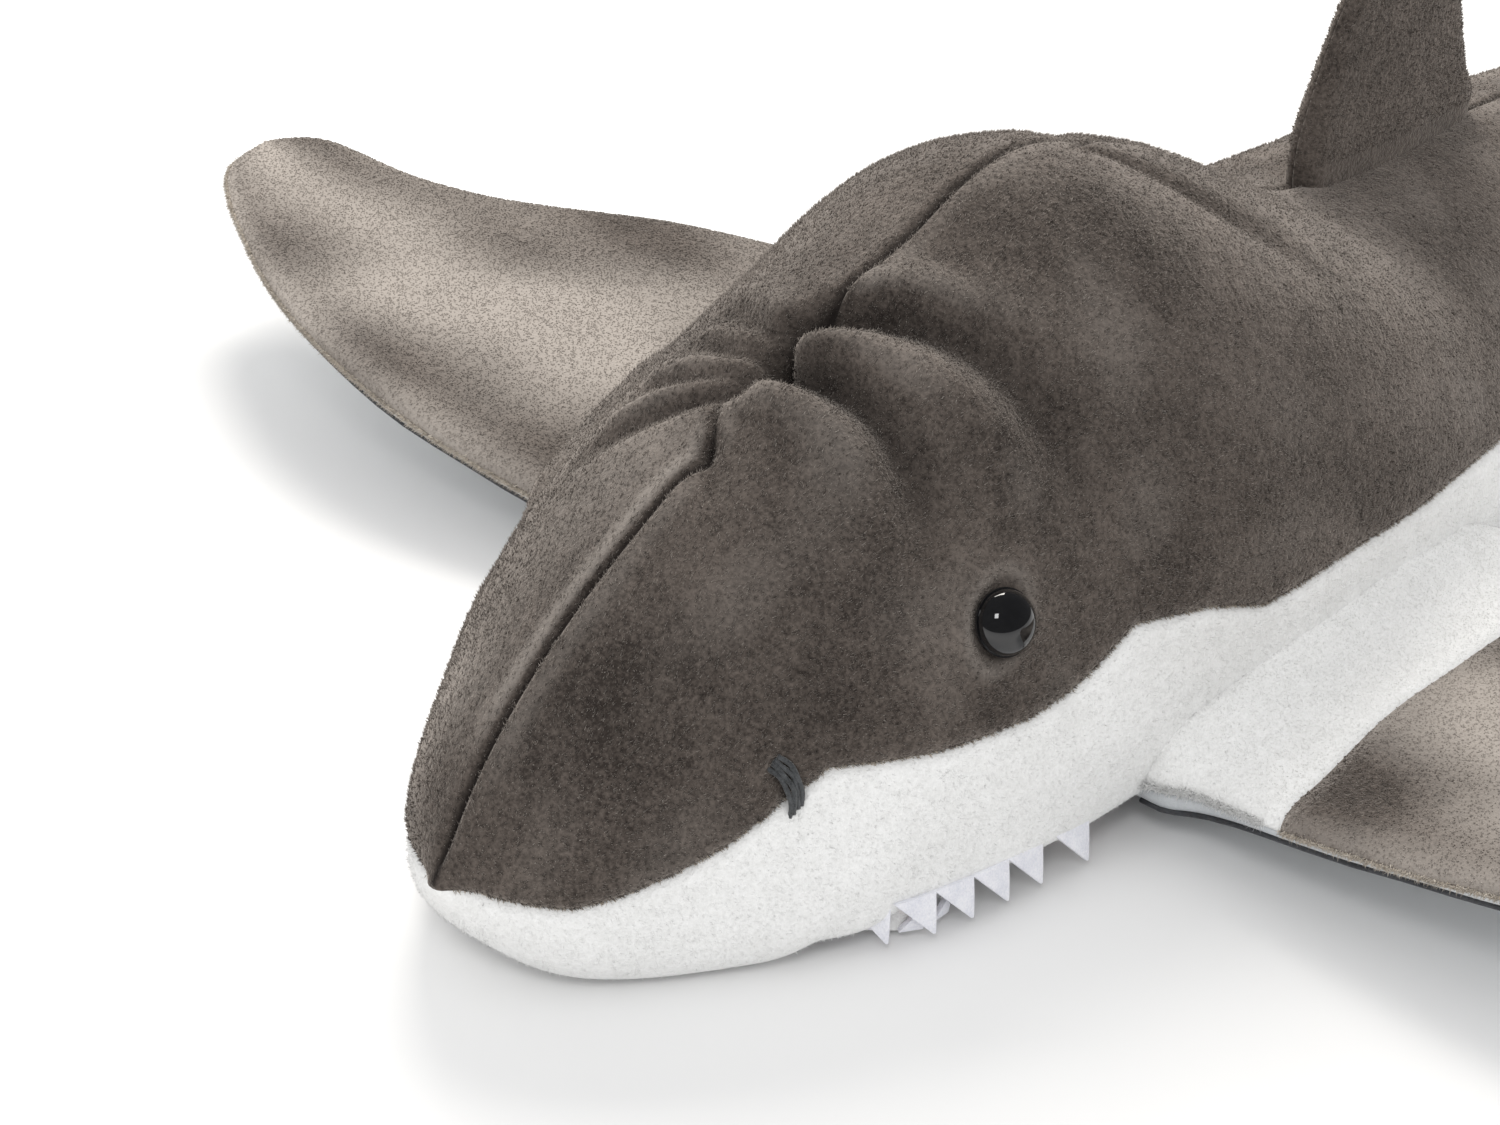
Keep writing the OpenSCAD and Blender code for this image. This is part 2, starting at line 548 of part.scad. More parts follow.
// Front edge: lower tip, up to the root, along the root and on to the upper tip
function tail_lead(t) =
    t < 0.35 ? bez([low_tip, [root_s + 28, root_low * 0.55], [root_s, root_low + 2]], t / 0.35)
    : t < 0.5 ? [root_s, root_low + 2 + (root_high - root_low - 4) * (t - 0.35) / 0.15]
    : bez([[root_s, root_high - 2], [root_s + 52, root_high + 26], high_tip], (t - 0.5) / 0.5);
function tail_trail(t) =
    t < 0.42 ? bez([low_tip + [8, 3], fork + [10, -34], fork], t / 0.42)
    : bez([fork, fork + [8, 40], high_tip + [0.001, -6]], (t - 0.42) / 0.58);
function tail_half(u, t) =
    let (mid = 1 - pow(abs(2 * t - 0.86) / 1.2, 2))
    skin + (tail_t / 2 - skin) * max(0, mid) * pow(max(0, 1 - u), 0.55) * clamp01(0.75 + 3 * u)
        * clamp01(8 * min(t, 1 - t));
function caudal_grid(face, depth) = [for (i = [0 : tail_steps]) let (t = i / tail_steps,
    a = tail_lead(t), b = tail_trail(t))
    [for (j = [0 : fin_rows]) let (u = j / fin_rows, p = a + (b - a) * u, h = tail_half(u, t) - depth)
        at(face * h, p[0] + caudal_lean(p[0], h), p[1])]];
// The root edge slopes back at its sides, as the tail's end does
function caudal_lean(s, h) = abs(h) * wedge * clamp01(1 - (s - root_s) / 30);
module caudal_panel(face) {
    color(plush_grey)
        if (face > 0) sheet(caudal_grid(1, skin), caudal_grid(1, 0));
        else sheet(caudal_grid(-1, 0), caudal_grid(-1, skin));
}
module caudal_filling() {
    function grid(face) = [for (i = [2 : tail_steps - 3]) let (t = i / tail_steps,
        a = tail_lead(t), b = tail_trail(t))
        [for (j = [1 : fin_rows - 1]) let (u = j / fin_rows, p = a + (b - a) * u,
            h = max(0.2, tail_half(u, t) - skin - fill_gap))
            at(face * h, p[0] + caudal_lean(p[0], h), p[1])]];
    color(fibre_white) sheet(grid(-1), grid(1));
}

// ---- sub-parts of the head and the trunk ----
module head_panel(side) {
    color(plush_grey) difference() {
        mirror([side < 0 ? 1 : 0, 0, 0]) upper_patch(front_list, high_rows);
        stem_hole(side);
    }
}
module back_panel(side) {
    color(plush_grey) difference() {
        mirror([side < 0 ? 1 : 0, 0, 0]) upper_patch(back_list, high_rows);
        stem_hole(side);
    }
}
module cheek_panel(side) {
    color(plush_white) mirror([side < 0 ? 1 : 0, 0, 0]) lower_patch(cheek_list, low_rows);
}
module belly_panel() {
    color(plush_white) under_patch(torso_list, low_rows);
}
module head_filling() {
    color(fibre_white) difference() {
        filling(within(cheek_list, 8, head_fill_end), low_rows, high_rows);
        for (side = [-1, 1]) {
            stem_hole(side);
            washer_room(side);
        }
    }
}
pouch_s = 330;
pouch_z = 24;
module pouch_shape(grow) {
    r = pouch_t / 2 + grow;
    translate(at(0, pouch_s, pouch_z + pouch_t / 2)) rotate_extrude($fn = 48) {
        translate([pouch_d / 2 - pouch_t / 2, 0]) intersection() {
            circle(r = r, $fn = 32);
            translate([0, -r]) square([r, 2 * r]);
        }
        translate([0, -r]) square([pouch_d / 2 - pouch_t / 2 + 0.01, 2 * r]);
    }
}
module torso_filling() {
    color(fibre_white) difference() {
        filling(within(back_list, head_fill_end + 1, tail_joint - fill_back), low_rows, high_rows);
        pouch_shape(fill_gap);
    }
}
module pellet_pouch() {
    color([0.75, 0.73, 0.68]) pouch_shape(0);
}
module tail_back_panel(side) {
    color(plush_grey) mirror([side < 0 ? 1 : 0, 0, 0]) upper_patch(tail_list, tail_rows);
}
module tail_belly_panel() {
    color(plush_white) under_patch(tail_list, tail_rows);
}
module tail_filling() {
    color(fibre_white) filling(within(tail_list, tail_joint + fill_back, trunk_length - fill_back),
                                     tail_rows, tail_rows);
}
module care_label() {
    s = tail_joint - 70;
    color([0.96, 0.96, 0.95]) mirror([1, 0, 0])
        translate(trunk_point(s, seam_a(s), 0) + [2.2, 0, 0])
            rotate([0, 25, 0]) translate([0, -label_w / 2, 0]) cube([label_len * 0.6, label_w, 0.8]);
}

head_panel(1);  // head_panel_left
head_panel(-1);  // head_panel_right
back_panel(1);  // back_panel_left
back_panel(-1);  // back_panel_right
cheek_panel(1);  // cheek_panel_left
cheek_panel(-1);  // cheek_panel_right
belly_panel();
head_filling();
torso_filling();
pellet_pouch();
safety_eye(1);  // eye_left
safety_eye(-1);  // eye_right
locking_washer(1);  // eye_washer_left
locking_washer(-1);  // eye_washer_right
nostril_stitches(1);  // nostril_stitches_left
nostril_stitches(-1);  // nostril_stitches_right
palate_lining();
upper_teeth(1);  // upper_teeth_left
upper_teeth(-1);  // upper_teeth_right
care_label();
jaw_panel();
jaw_filling();
jaw_lining();
lower_teeth();
pectoral_top(1);  // pectoral_top_left
pectoral_underside(1);  // pectoral_underside_left
pectoral_filling(1);  // pectoral_filling_left
pectoral_top(-1);  // pectoral_top_right
pectoral_underside(-1);  // pectoral_underside_right
pectoral_filling(-1);  // pectoral_filling_right
pelvic_fin(1);  // pelvic_fin_left
pelvic_fin(-1);  // pelvic_fin_right
dorsal_panel(-1);  // dorsal_panel_left
dorsal_panel(1);  // dorsal_panel_right
dorsal_filling();
tail_back_panel(1);  // tail_back_panel_left
tail_back_panel(-1);  // tail_back_panel_right
tail_belly_panel();
tail_filling();
second_dorsal_fin();
anal_fin();
caudal_panel(1);  // caudal_panel_left
caudal_panel(-1);  // caudal_panel_right
caudal_filling();
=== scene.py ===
import bpy
import json
import math
import numpy as np
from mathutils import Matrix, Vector
from mathutils.bvhtree import BVHTree


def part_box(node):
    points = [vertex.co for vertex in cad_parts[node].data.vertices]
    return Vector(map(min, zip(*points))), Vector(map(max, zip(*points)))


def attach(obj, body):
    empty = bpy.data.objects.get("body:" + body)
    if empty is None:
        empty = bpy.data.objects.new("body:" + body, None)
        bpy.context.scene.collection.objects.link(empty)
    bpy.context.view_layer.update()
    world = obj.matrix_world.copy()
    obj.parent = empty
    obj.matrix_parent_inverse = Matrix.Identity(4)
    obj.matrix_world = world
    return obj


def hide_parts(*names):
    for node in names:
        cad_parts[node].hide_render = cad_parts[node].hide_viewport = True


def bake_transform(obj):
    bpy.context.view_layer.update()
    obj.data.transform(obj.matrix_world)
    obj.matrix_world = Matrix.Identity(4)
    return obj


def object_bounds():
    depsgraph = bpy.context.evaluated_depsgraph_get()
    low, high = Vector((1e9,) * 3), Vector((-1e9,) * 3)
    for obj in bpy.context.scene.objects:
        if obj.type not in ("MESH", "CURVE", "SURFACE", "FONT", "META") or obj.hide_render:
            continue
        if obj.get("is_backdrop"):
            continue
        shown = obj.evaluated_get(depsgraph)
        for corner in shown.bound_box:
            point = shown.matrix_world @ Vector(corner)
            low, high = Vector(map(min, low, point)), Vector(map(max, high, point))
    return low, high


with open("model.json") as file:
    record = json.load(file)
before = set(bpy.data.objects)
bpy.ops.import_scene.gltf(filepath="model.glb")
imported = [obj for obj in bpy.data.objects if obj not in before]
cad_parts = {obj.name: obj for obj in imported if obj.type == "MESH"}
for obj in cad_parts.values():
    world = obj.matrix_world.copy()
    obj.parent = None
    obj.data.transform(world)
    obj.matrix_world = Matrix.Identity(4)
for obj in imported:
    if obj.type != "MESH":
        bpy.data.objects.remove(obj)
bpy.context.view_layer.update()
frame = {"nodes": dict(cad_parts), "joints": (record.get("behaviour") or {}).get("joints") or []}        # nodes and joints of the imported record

mm = 0.001
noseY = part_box("head_panel_left")[0].y - 1.5 * mm      # stations are counted back from here
print("frame loaded")

# Helpers


def clearSelection():
    bpy.ops.object.select_all(action="DESELECT")


def activate(obj):
    clearSelection()
    obj.select_set(True)
    bpy.context.view_layer.objects.active = obj


def joined(pieces, name):
    # several meshes made one, under a new name
    activate(pieces[0])
    for other in pieces[1:]:
        other.select_set(True)
    bpy.ops.object.join()
    pieces[0].name = pieces[0].data.name = name
    return pieces[0]


def joint(name):
    return next(j for j in frame["joints"] if j["name"] == name)


def nodePoints(name):
    return np.array([v.co[:] for v in frame["nodes"][name].data.vertices])


def bump(x, centre, width):
    return np.exp(-((x - centre) / width) ** 2)


def smoothStep(x, low, high):
    k = np.clip((x - low) / (high - low), 0, 1)
    return k * k * (3 - 2 * k)


def blurRows(a, sigma, axis):
    # gaussian along one axis, with the ends held
    reach = int(3 * sigma) + 1
    kernel = np.exp(-0.5 * (np.arange(-reach, reach + 1) / sigma) ** 2)
    kernel /= kernel.sum()
    pad = [(0, 0)] * a.ndim
    pad[axis] = (reach, reach)
    wide = np.pad(a, pad, mode="reflect", reflect_type="odd")
    return np.apply_along_axis(lambda v: np.convolve(v, kernel, mode="valid"), axis, wide)


def lumps(x, y, size, seed):
    # soft random swelling, between about -1 and 1
    rng = np.random.default_rng(seed)
    total = np.zeros(np.broadcast(x, y).shape)
    for _ in range(14):
        turn, phase = rng.uniform(0, math.tau, 2)
        pitch = size * rng.uniform(0.7, 1.8)
        total += np.sin((x * math.cos(turn) + y * math.sin(turn)) * math.tau / pitch + phase)
    return total / 5


def gridNormals(points):
    along = np.gradient(points, axis=0)
    across = np.gradient(points, axis=1)
    n = np.cross(across, along)
    return n / np.maximum(np.linalg.norm(n, axis=2, keepdims=True), 1e-12)


def storePileTone(mesh, values):
    # how far the pile's colour is taken dark (below 0) or light (above 0) at each vertex: mostly painted
    # shade and sheen, with some random tone
    stored = mesh.attributes.new("pileTone", "FLOAT", "POINT")
    stored.data.foreach_set("value", values.astype(np.float32).ravel())


def formGrid(name, points, pileTone=None):
    # a plain grid is added, and each of its vertices is moved to its place on the form
    rows, columns = points.shape[:2]
    clearSelection()
    bpy.ops.mesh.primitive_grid_add(x_subdivisions=columns - 1, y_subdivisions=rows - 1,
                                    size=1, location=(0, 0, 0))
    obj = bpy.context.active_object
    obj.name = obj.data.name = name
    obj.data.vertices.foreach_set("co", points.astype(np.float32).ravel())
    obj.data.update()
    if pileTone is not None:
        storePileTone(obj.data, pileTone)
    bpy.ops.object.mode_set(mode="EDIT")
    bpy.ops.mesh.select_all(action="SELECT")
    bpy.ops.mesh.remove_doubles(threshold=0.00002)
    bpy.ops.mesh.normals_make_consistent(inside=False)
    bpy.ops.object.mode_set(mode="OBJECT")
    bpy.ops.object.shade_smooth()
    return obj


# Camera, floor and lights

cameraView = {"azimuth": 42, "elevation": 29, "distance": 0.9, "lens": 77.76,
              "aim": (11.8, 113.1, 92.7)}        # aim: sideways, station and height in mm


def addCamera():
    v = cameraView
    a, e = math.radians(v["azimuth"]), math.radians(v["elevation"])
    back = Vector((math.sin(a) * math.cos(e), -math.cos(a) * math.cos(e), math.sin(e)))
    aim = Vector((v["aim"][0] * mm, noseY + v["aim"][1] * mm, v["aim"][2] * mm))
    bpy.ops.object.camera_add(location=aim + back * v["distance"])
    cam = bpy.context.active_object
    cam.rotation_mode = "QUATERNION"
    cam.rotation_quaternion = (-back).to_track_quat("-Z", "Y")
    cam.data.lens = v["lens"]
    cam.data.sensor_width = 36
    cam.data.clip_start = 0.01
    bpy.context.scene.camera = cam


studio = {"floorColour": (0.90, 0.90, 0.90, 1), "worldColour": (1.0, 1.0, 1.0, 1), "worldLight": 0.85,
          "worldMirror": 0.12, "keyPower": 16, "fillPower": 3.5}


def areaLight(name, place, aim, size, power, colour):
    bpy.ops.object.light_add(type="AREA", location=place)
    light = bpy.context.active_object
    light.name = name
    light.data.size = size
    light.data.energy = power
    light.data.color = colour
    light.rotation_mode = "QUATERNION"
    light.rotation_quaternion = (Vector(aim) - Vector(place)).to_track_quat("-Z", "Y")


def addStudio():
    bpy.ops.mesh.primitive_plane_add(size=14, location=(0, 0, 0))
    floor = bpy.context.active_object
    floor.name = "studioFloor"
    paper = bpy.data.materials.new("studioPaper")
    paper.use_nodes = True
    shader = paper.node_tree.nodes["Principled BSDF"]
    shader.inputs["Base Color"].default_value = studio["floorColour"]
    shader.inputs["Roughness"].default_value = 0.9
    shader.inputs["Specular IOR Level"].default_value = 0.1
    floor.data.materials.append(paper)
    floor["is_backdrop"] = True
    world = bpy.data.worlds.new("studioWorld")
    world.use_nodes = True
    sky = world.node_tree.nodes["Background"]
    sky.inputs["Color"].default_value = studio["worldColour"]
    path = world.node_tree.nodes.new("ShaderNodeLightPath")
    dim = world.node_tree.nodes.new("ShaderNodeMapRange")
    dim.inputs["To Min"].default_value = studio["worldLight"]
    dim.inputs["To Max"].default_value = studio["worldMirror"]
    world.node_tree.links.new(path.outputs["Is Glossy Ray"], dim.inputs["Value"])
    world.node_tree.links.new(dim.outputs["Result"], sky.inputs["Strength"])
    bpy.context.scene.world = world
    head = (0, noseY + 0.16, 0.08)
    areaLight("keyLight", (-0.75, noseY + 0.95, 1.15), head, 0.7, studio["keyPower"], (1.0, 0.96, 0.9))
    areaLight("fillLight", (0.7, noseY - 0.7, 1.2), head, 0.35, studio["fillPower"], (1.0, 1.0, 1.0))
    bpy.context.scene.view_settings.view_transform = "Standard"


addCamera()
addStudio()
print("camera and studio ready")

# Materials


def link(tree, a, b):
    tree.links.new(a, b)


def newMaterial(name):
    mat = bpy.data.materials.new(name)
    mat.use_nodes = True
    return mat, mat.node_tree, mat.node_tree.nodes["Principled BSDF"]


def newGroup(name, scales):
    # a node group that takes a place, two tones and some scales, and gives a colour and a height
    group = bpy.data.node_groups.new(name, "ShaderNodeTree")
    sockets = [("Vector", "INPUT", "Vector"), ("Dark", "INPUT", "Color"), ("Light", "INPUT", "Color")]
    sockets += [(scale, "INPUT", "Float") for scale in scales]
    sockets += [("Color", "OUTPUT", "Color"), ("Height", "OUTPUT", "Float")]
    for title, way, kind in sockets:
        group.interface.new_socket(title, in_out=way, socket_type=f"NodeSocket{kind}")
    return group, group.nodes.new("NodeGroupInput"), group.nodes.new("NodeGroupOutput")


def noiseNode(group, inner, scale, detail, rough):
    n = group.nodes.new("ShaderNodeTexNoise")
    n.inputs["Detail"].default_value = detail
    n.inputs["Roughness"].default_value = rough
    link(group, inner.outputs["Vector"], n.inputs["Vector"])
    link(group, inner.outputs[scale], n.inputs["Scale"])
    return n.outputs["Fac"]


def fill(tree, value, socket):
    # a socket takes either a link or a constant
    if isinstance(value, bpy.types.NodeSocket):
        link(tree, value, socket)
    else:
        socket.default_value = value


def mathNode(tree, operation, a, b):
    m = tree.nodes.new("ShaderNodeMath")
    m.operation = operation
    fill(tree, a, m.inputs[0])
    fill(tree, b, m.inputs[1])
    return m.outputs[0]


def rangeNode(tree, value, low, high):
    # the share of the way from low to high
    spread = tree.nodes.new("ShaderNodeMapRange")
    spread.inputs["From Min"].default_value = low
    spread.inputs["From Max"].default_value = high
    link(tree, value, spread.inputs["Value"])
    return spread.outputs["Result"]


def mixNode(tree, share, first, second):
    blend = tree.nodes.new("ShaderNodeMix")
    blend.data_type = "RGBA"
    link(tree, share, blend.inputs["Factor"])
    fill(tree, first, blend.inputs[6])
    fill(tree, second, blend.inputs[7])
    return blend.outputs[2]


def groupOutputs(group, inner, outer, mixed, low, high, height):
    share = rangeNode(group, mixed, low, high)
    tone = mixNode(group, share, inner.outputs["Dark"], inner.outputs["Light"])
    link(group, tone, outer.inputs["Color"])
    link(group, height, outer.inputs["Height"])
    return group


def pileGroup():
    # brushed pile: large brush marks, small clumps and single hairs
    group, inner, outer = newGroup("brushedPile", ("Brush scale", "Clump scale", "Hair scale"))
    pileTone = noiseNode(group, inner, "Brush scale", 3, 0.55)
    clump = noiseNode(group, inner, "Clump scale", 2, 0.6)
    hair = noiseNode(group, inner, "Hair scale", 2, 0.7)

    def part(value, share):
        return mathNode(group, "MULTIPLY", value, share)
    fine = mathNode(group, "ADD", part(clump, 0.60), part(hair, 1.45))
    mixed = mathNode(group, "ADD", part(pileTone, 0.95), fine)
    height = mathNode(group, "ADD", part(clump, 0.35), part(hair, 0.65))
    return groupOutputs(group, inner, outer, mixed, 1.15, 1.85, height)


def grainGroup():
    # fine even grain for felt, cloth and moulded plastic
    group, inner, outer = newGroup("fineGrain", ("Grain scale", "Cloud scale"))
    fine, cloud = (noiseNode(group, inner, scale, 4, 0.5) for scale in ("Grain scale", "Cloud scale"))
    mixed = mathNode(group, "ADD", fine, cloud)
    return groupOutputs(group, inner, outer, mixed, 0.75, 1.25, fine)


pile, grain = pileGroup(), grainGroup()


def shadeSheenAndBrushTone(tree, colour, deep, pale):
    # the stored tone takes the pile towards its deep tone, painted shade in folds and the seam groove, and
    # towards its pale tone, painted sheen where it would catch light; random tone moves it a little too
    value = tree.nodes.new("ShaderNodeAttribute")
    value.attribute_name = "pileTone"
    for limit, tone in ((-1.0, deep), (1.0, pale)):
        colour = mixNode(tree, rangeNode(tree, value.outputs["Fac"], 0.0, limit), colour, tone)
    return colour


def texturedMaterial(name, group, scales, dark, light, relief, finish, tones=None):
    # colour and bump from a node group in object space; relief is the bump's strength and depth
    mat, tree, shader = newMaterial(name)
    where = tree.nodes.new("ShaderNodeTexCoord")
    made = tree.nodes.new("ShaderNodeGroup")
    made.node_tree = group
    for socket, value in {"Dark": dark, "Light": light, **scales}.items():
        made.inputs[socket].default_value = value
    raised = tree.nodes.new("ShaderNodeBump")
    raised.inputs["Strength"].default_value, raised.inputs["Distance"].default_value = relief
    colour = made.outputs["Color"]
    link(tree, where.outputs["Object"], made.inputs["Vector"])
    link(tree, shadeSheenAndBrushTone(tree, colour, *tones) if tones else colour, shader.inputs["Base Color"])
    link(tree, made.outputs["Height"], raised.inputs["Height"])
    link(tree, raised.outputs["Normal"], shader.inputs["Normal"])
    for socket, value in finish.items():
        shader.inputs[socket].default_value = value
    return mat


pileScales = {"Brush scale": 26.0, "Clump scale": 210.0, "Hair scale": 780.0}


def plushMaterial(name, dark, light, sheen, tint, bumpDepth, deep, pale):
    finish = {"Roughness": 0.9, "Specular IOR Level": 0.12, "Sheen Weight": sheen, "Sheen Roughness": 0.42,
              "Sheen Tint": tint}
    return texturedMaterial(name, pile, pileScales, dark, light, (0.9, bumpDepth), finish, (deep, pale))


def clothMaterial(name, dark, light, rough, bumpDepth, grainScale=900.0, cloudScale=60.0, sheen=0.0,
                  specular=0.3):
    scales = {"Grain scale": grainScale, "Cloud scale": cloudScale}
    finish = {"Roughness": rough, "Specular IOR Level": specular, "Sheen Weight": sheen,
              "Sheen Roughness": 0.5}
    return texturedMaterial(name, grain, scales, dark, light, (0.6, bumpDepth), finish)


# in each plush below, the last two tones are the colour of its painted shade and the colour of its painted
# sheen
greyPlush = plushMaterial("greyPlush", (0.036, 0.029, 0.025, 1), (0.138, 0.115, 0.100, 1), 0.55,
                          (0.95, 0.86, 0.78, 1), 0.0010, (0.014, 0.011, 0.010, 1), (0.41, 0.37, 0.335, 1))
whitePlush = plushMaterial("whitePlush", (0.80, 0.80, 0.79, 1), (0.92, 0.92, 0.915, 1), 0.25,
                           (1, 1, 1, 1), 0.0008, (0.62, 0.60, 0.57, 1), (0.95, 0.95, 0.945, 1))
creamFringe = plushMaterial("creamFringe", (0.26, 0.215, 0.17, 1), (0.62, 0.54, 0.45, 1), 0.4,
                            (1, 0.95, 0.88, 1), 0.0004, (0.2, 0.17, 0.14, 1), (0.8, 0.74, 0.66, 1))
smoothLining = clothMaterial("smoothLining", (0.52, 0.545, 0.565, 1), (0.64, 0.665, 0.685, 1), 0.42, 0.0002,
                             1400.0, 45.0, 0.2, 0.5)
pinkLining = clothMaterial("pinkLining", (0.62, 0.30, 0.36, 1), (0.78, 0.45, 0.50, 1), 0.75, 0.0004,
                           900.0, 70.0, 0.4)
feltWhite = clothMaterial("toothFelt", (0.74, 0.75, 0.82, 1), (0.90, 0.90, 0.94, 1), 0.85, 0.0006,
                          1500.0, 200.0, 0.3)
threadGrey = clothMaterial("nostrilThread", (0.020, 0.022, 0.024, 1), (0.085, 0.09, 0.095, 1), 0.5, 0.0003,
                           2400.0, 500.0, 0.3)
# a dark tube material that paints the thin shadow line under each pectoral fin's front edge
shadowLineDark = clothMaterial("underEdgeShadowLine", (0.035, 0.036, 0.040, 1), (0.07, 0.072, 0.078, 1), 0.6, 0.0002)
eyePlastic = clothMaterial("eyePlastic", (0.004, 0.004, 0.005, 1), (0.008, 0.008, 0.009, 1), 0.04, 0.0,
                           600.0, 60.0, 0.0, 0.5)
eyeShader = eyePlastic.node_tree.nodes["Principled BSDF"]
eyeShader.inputs["Coat Weight"].default_value = 0.6
eyeShader.inputs["Coat Roughness"].default_value = 0.02
washerPlastic = clothMaterial("washerPlastic", (0.70, 0.70, 0.66, 1), (0.80, 0.80, 0.76, 1), 0.4, 0.00005)
pouchCloth = clothMaterial("pouchCloth", (0.45, 0.43, 0.38, 1), (0.60, 0.58, 0.52, 1), 0.8, 0.0004, 700.0)
labelSatin = clothMaterial("labelSatin", (0.80, 0.80, 0.78, 1), (0.90, 0.90, 0.88, 1), 0.35, 0.0001,
                           1600.0, 80.0, 0.3, 0.5)
print("materials ready")

# The stuffed skin

trunkSkin = {"step": 2.0, "sideRays": 181, "blurAlong": 3.2, "blurRound": 3.2, "columns": (110, 84)}
skinNodes = ["head_panel_left", "head_panel_right", "back_panel_left", "back_panel_right",
             "cheek_panel_left", "cheek_panel_right", "belly_panel",
             "tail_back_panel_left", "tail_back_panel_right", "tail_belly_panel"]


def nodeMesh(names):
    points, faces = [], []
    for name in names:
        mesh = frame["nodes"][name].data
        base = len(points)
        points += [v.co.copy() for v in mesh.vertices]
        faces += [tuple(base + k for k in p.vertices) for p in mesh.polygons]
    return points, faces


def sampleSkin():
    # the outer skin of the left side: for each station, points from the back's seam to the belly's middle
    v = trunkSkin
    tree = BVHTree.FromPolygons(*nodeMesh(skinNodes))
    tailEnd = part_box("tail_back_panel_left")[1].y - noseY
    stations = np.arange(2.0, tailEnd / mm - 1.0, v["step"]) * mm
    angles = np.radians(np.linspace(90, -90, v["sideRays"]))
    grid = np.full((len(stations), len(angles), 2), np.nan)
    near = 0.4 * mm
    for i, s in enumerate(stations):
        y = noseY + s
        high = tree.ray_cast(Vector((near, y, 0.5)), Vector((0, 0, -1)))[0]
        low = tree.ray_cast(Vector((near, y, -0.2)), Vector((0, 0, 1)))[0]
        if high is None or low is None:
            continue
        centre = (high.z + low.z) / 2
        for j, a in enumerate(angles):
            out = Vector((math.cos(a), 0, math.sin(a)))
            start = Vector((near, y, centre)) + out * 0.4
            hit = tree.ray_cast(start, -out, 0.4)[0]
            if hit is not None:
                grid[i, j] = hit.x - near, hit.z
    for j in range(len(angles)):
        for k in range(2):
            column = grid[:, j, k]
            gaps = np.isnan(column)
            column[gaps] = np.interp(stations[gaps], stations[~gaps], column[~gaps])
    grid = blurRows(grid, v["blurRound"], 1)
    grid[:, 0, 0] = grid[:, -1, 0] = 0
    grid = blurRows(grid, v["blurAlong"], 0)
    return stations, splitRows(stations / mm, grid)


def evenly(points, count):
    run = np.concatenate([[0], np.cumsum(np.linalg.norm(np.diff(points, axis=0), axis=1))])
    at = np.linspace(0, run[-1], count)
    return np.stack([np.interp(at, run, points[:, k]) for k in (0, 1)], axis=1)


# Lower edge of the lip and roof of the mouth, as station and height in mm
lipEdge = [(84, 0), (89, 2), (95, 6), (102, 9.8), (112, 11.5), (130, 12), (170, 12.5), (184, 13.5),
           (197, 13.5), (210, 9.5), (226, 4), (242, 0)]
mouthRoof = [(83.5, 0), (85.5, 14.9), (176, 15.3), (194, 22), (214, 15), (242, 0)]


def mouthSide(s):
    # half width of the mouth at a station, from the rounded front to the corners
    low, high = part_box("palate_lining")
    front, rear = (low.y - noseY) / mm - 2, (high.y - noseY) / mm - 4
    q = np.clip((s - front) / (rear - front), 0, 1)
    return (high.x / mm + 2) * (1 - (1 - q) ** 4) ** 0.25


def mouthPath(s, w, level):
    # section from the cheek's widest level round the lip and in under the roof of the mouth
    edge = np.interp(s, *np.array(lipEdge, float).T)
    roof = max(np.interp(s, *np.array(mouthRoof, float).T), edge + 0.5 * min(1, edge))
    side = mouthSide(s)
    inner = max(0.0, min(w - 11, side - 2))
    front = 1 - smoothStep(s, 84, 112)                 # the lip is rounder at the front of the mouth
    wide, tall = 4.5 + 10 * front, 3.5 + 7 * front
    turn = np.radians((25, 50, 75, 90))
    corner = [(w - 0.6 - wide * (1 - math.cos(a)), edge + tall * (1 - math.sin(a))) for a in turn]
    return np.array([(w, level), (w - 0.5, edge + tall + 0.4 * max(0, level - edge - tall)), *corner,
                     (max(inner, min(w - 2 - wide, side + 2)), max(0, edge - 0.3)),
                     (inner, roof if inner > 3 else max(0, edge - 0.3)), (0, roof if inner > 3 else 0)]) * mm


def splitRows(stations, grid):
    # each section in two runs that meet at its widest level; the mouth is shaped into the lower run
    v = trunkSkin
    levels = np.array([row[row[:, 0] > row[:, 0].max() * 0.985, 1].mean() for row in grid])
    levels = blurRows(levels[:, None], 3, 0)[:, 0]
    rows = []
    for s, row, level in zip(stations, grid, levels):
        j = int(np.argmax(row[:, 1] < level))
        k = (row[j - 1, 1] - level) / (row[j - 1, 1] - row[j, 1])
        middle = row[j - 1] + (row[j] - row[j - 1]) * k
        upper = evenly(np.concatenate([row[:j], [middle]]), v["columns"][0])
        lower = evenly(np.concatenate([[middle], row[j:]]), v["columns"][1])
        if lipEdge[0][0] < s < lipEdge[-1][0]:
            shaped = evenly(mouthPath(s, middle[0] / mm, level / mm), v["columns"][1])
            shaped = blurRows(shaped, 1.2, 0)
            shaped[0], shaped[-1, 0] = middle, 0
            lower = shaped
        rows.append(np.concatenate([upper, lower[1:]]))
    rows = np.array(rows)
    calm = blurRows(rows, 1.0, 0)
    front = bump(stations, 86, 9)[:, None, None]       # the mouth opens gradually behind the snout
    calm = calm * (1 - front) + blurRows(rows, 3.5, 0) * front
    calm[:, 0, 0] = calm[:, -1, 0] = 0
    return calm


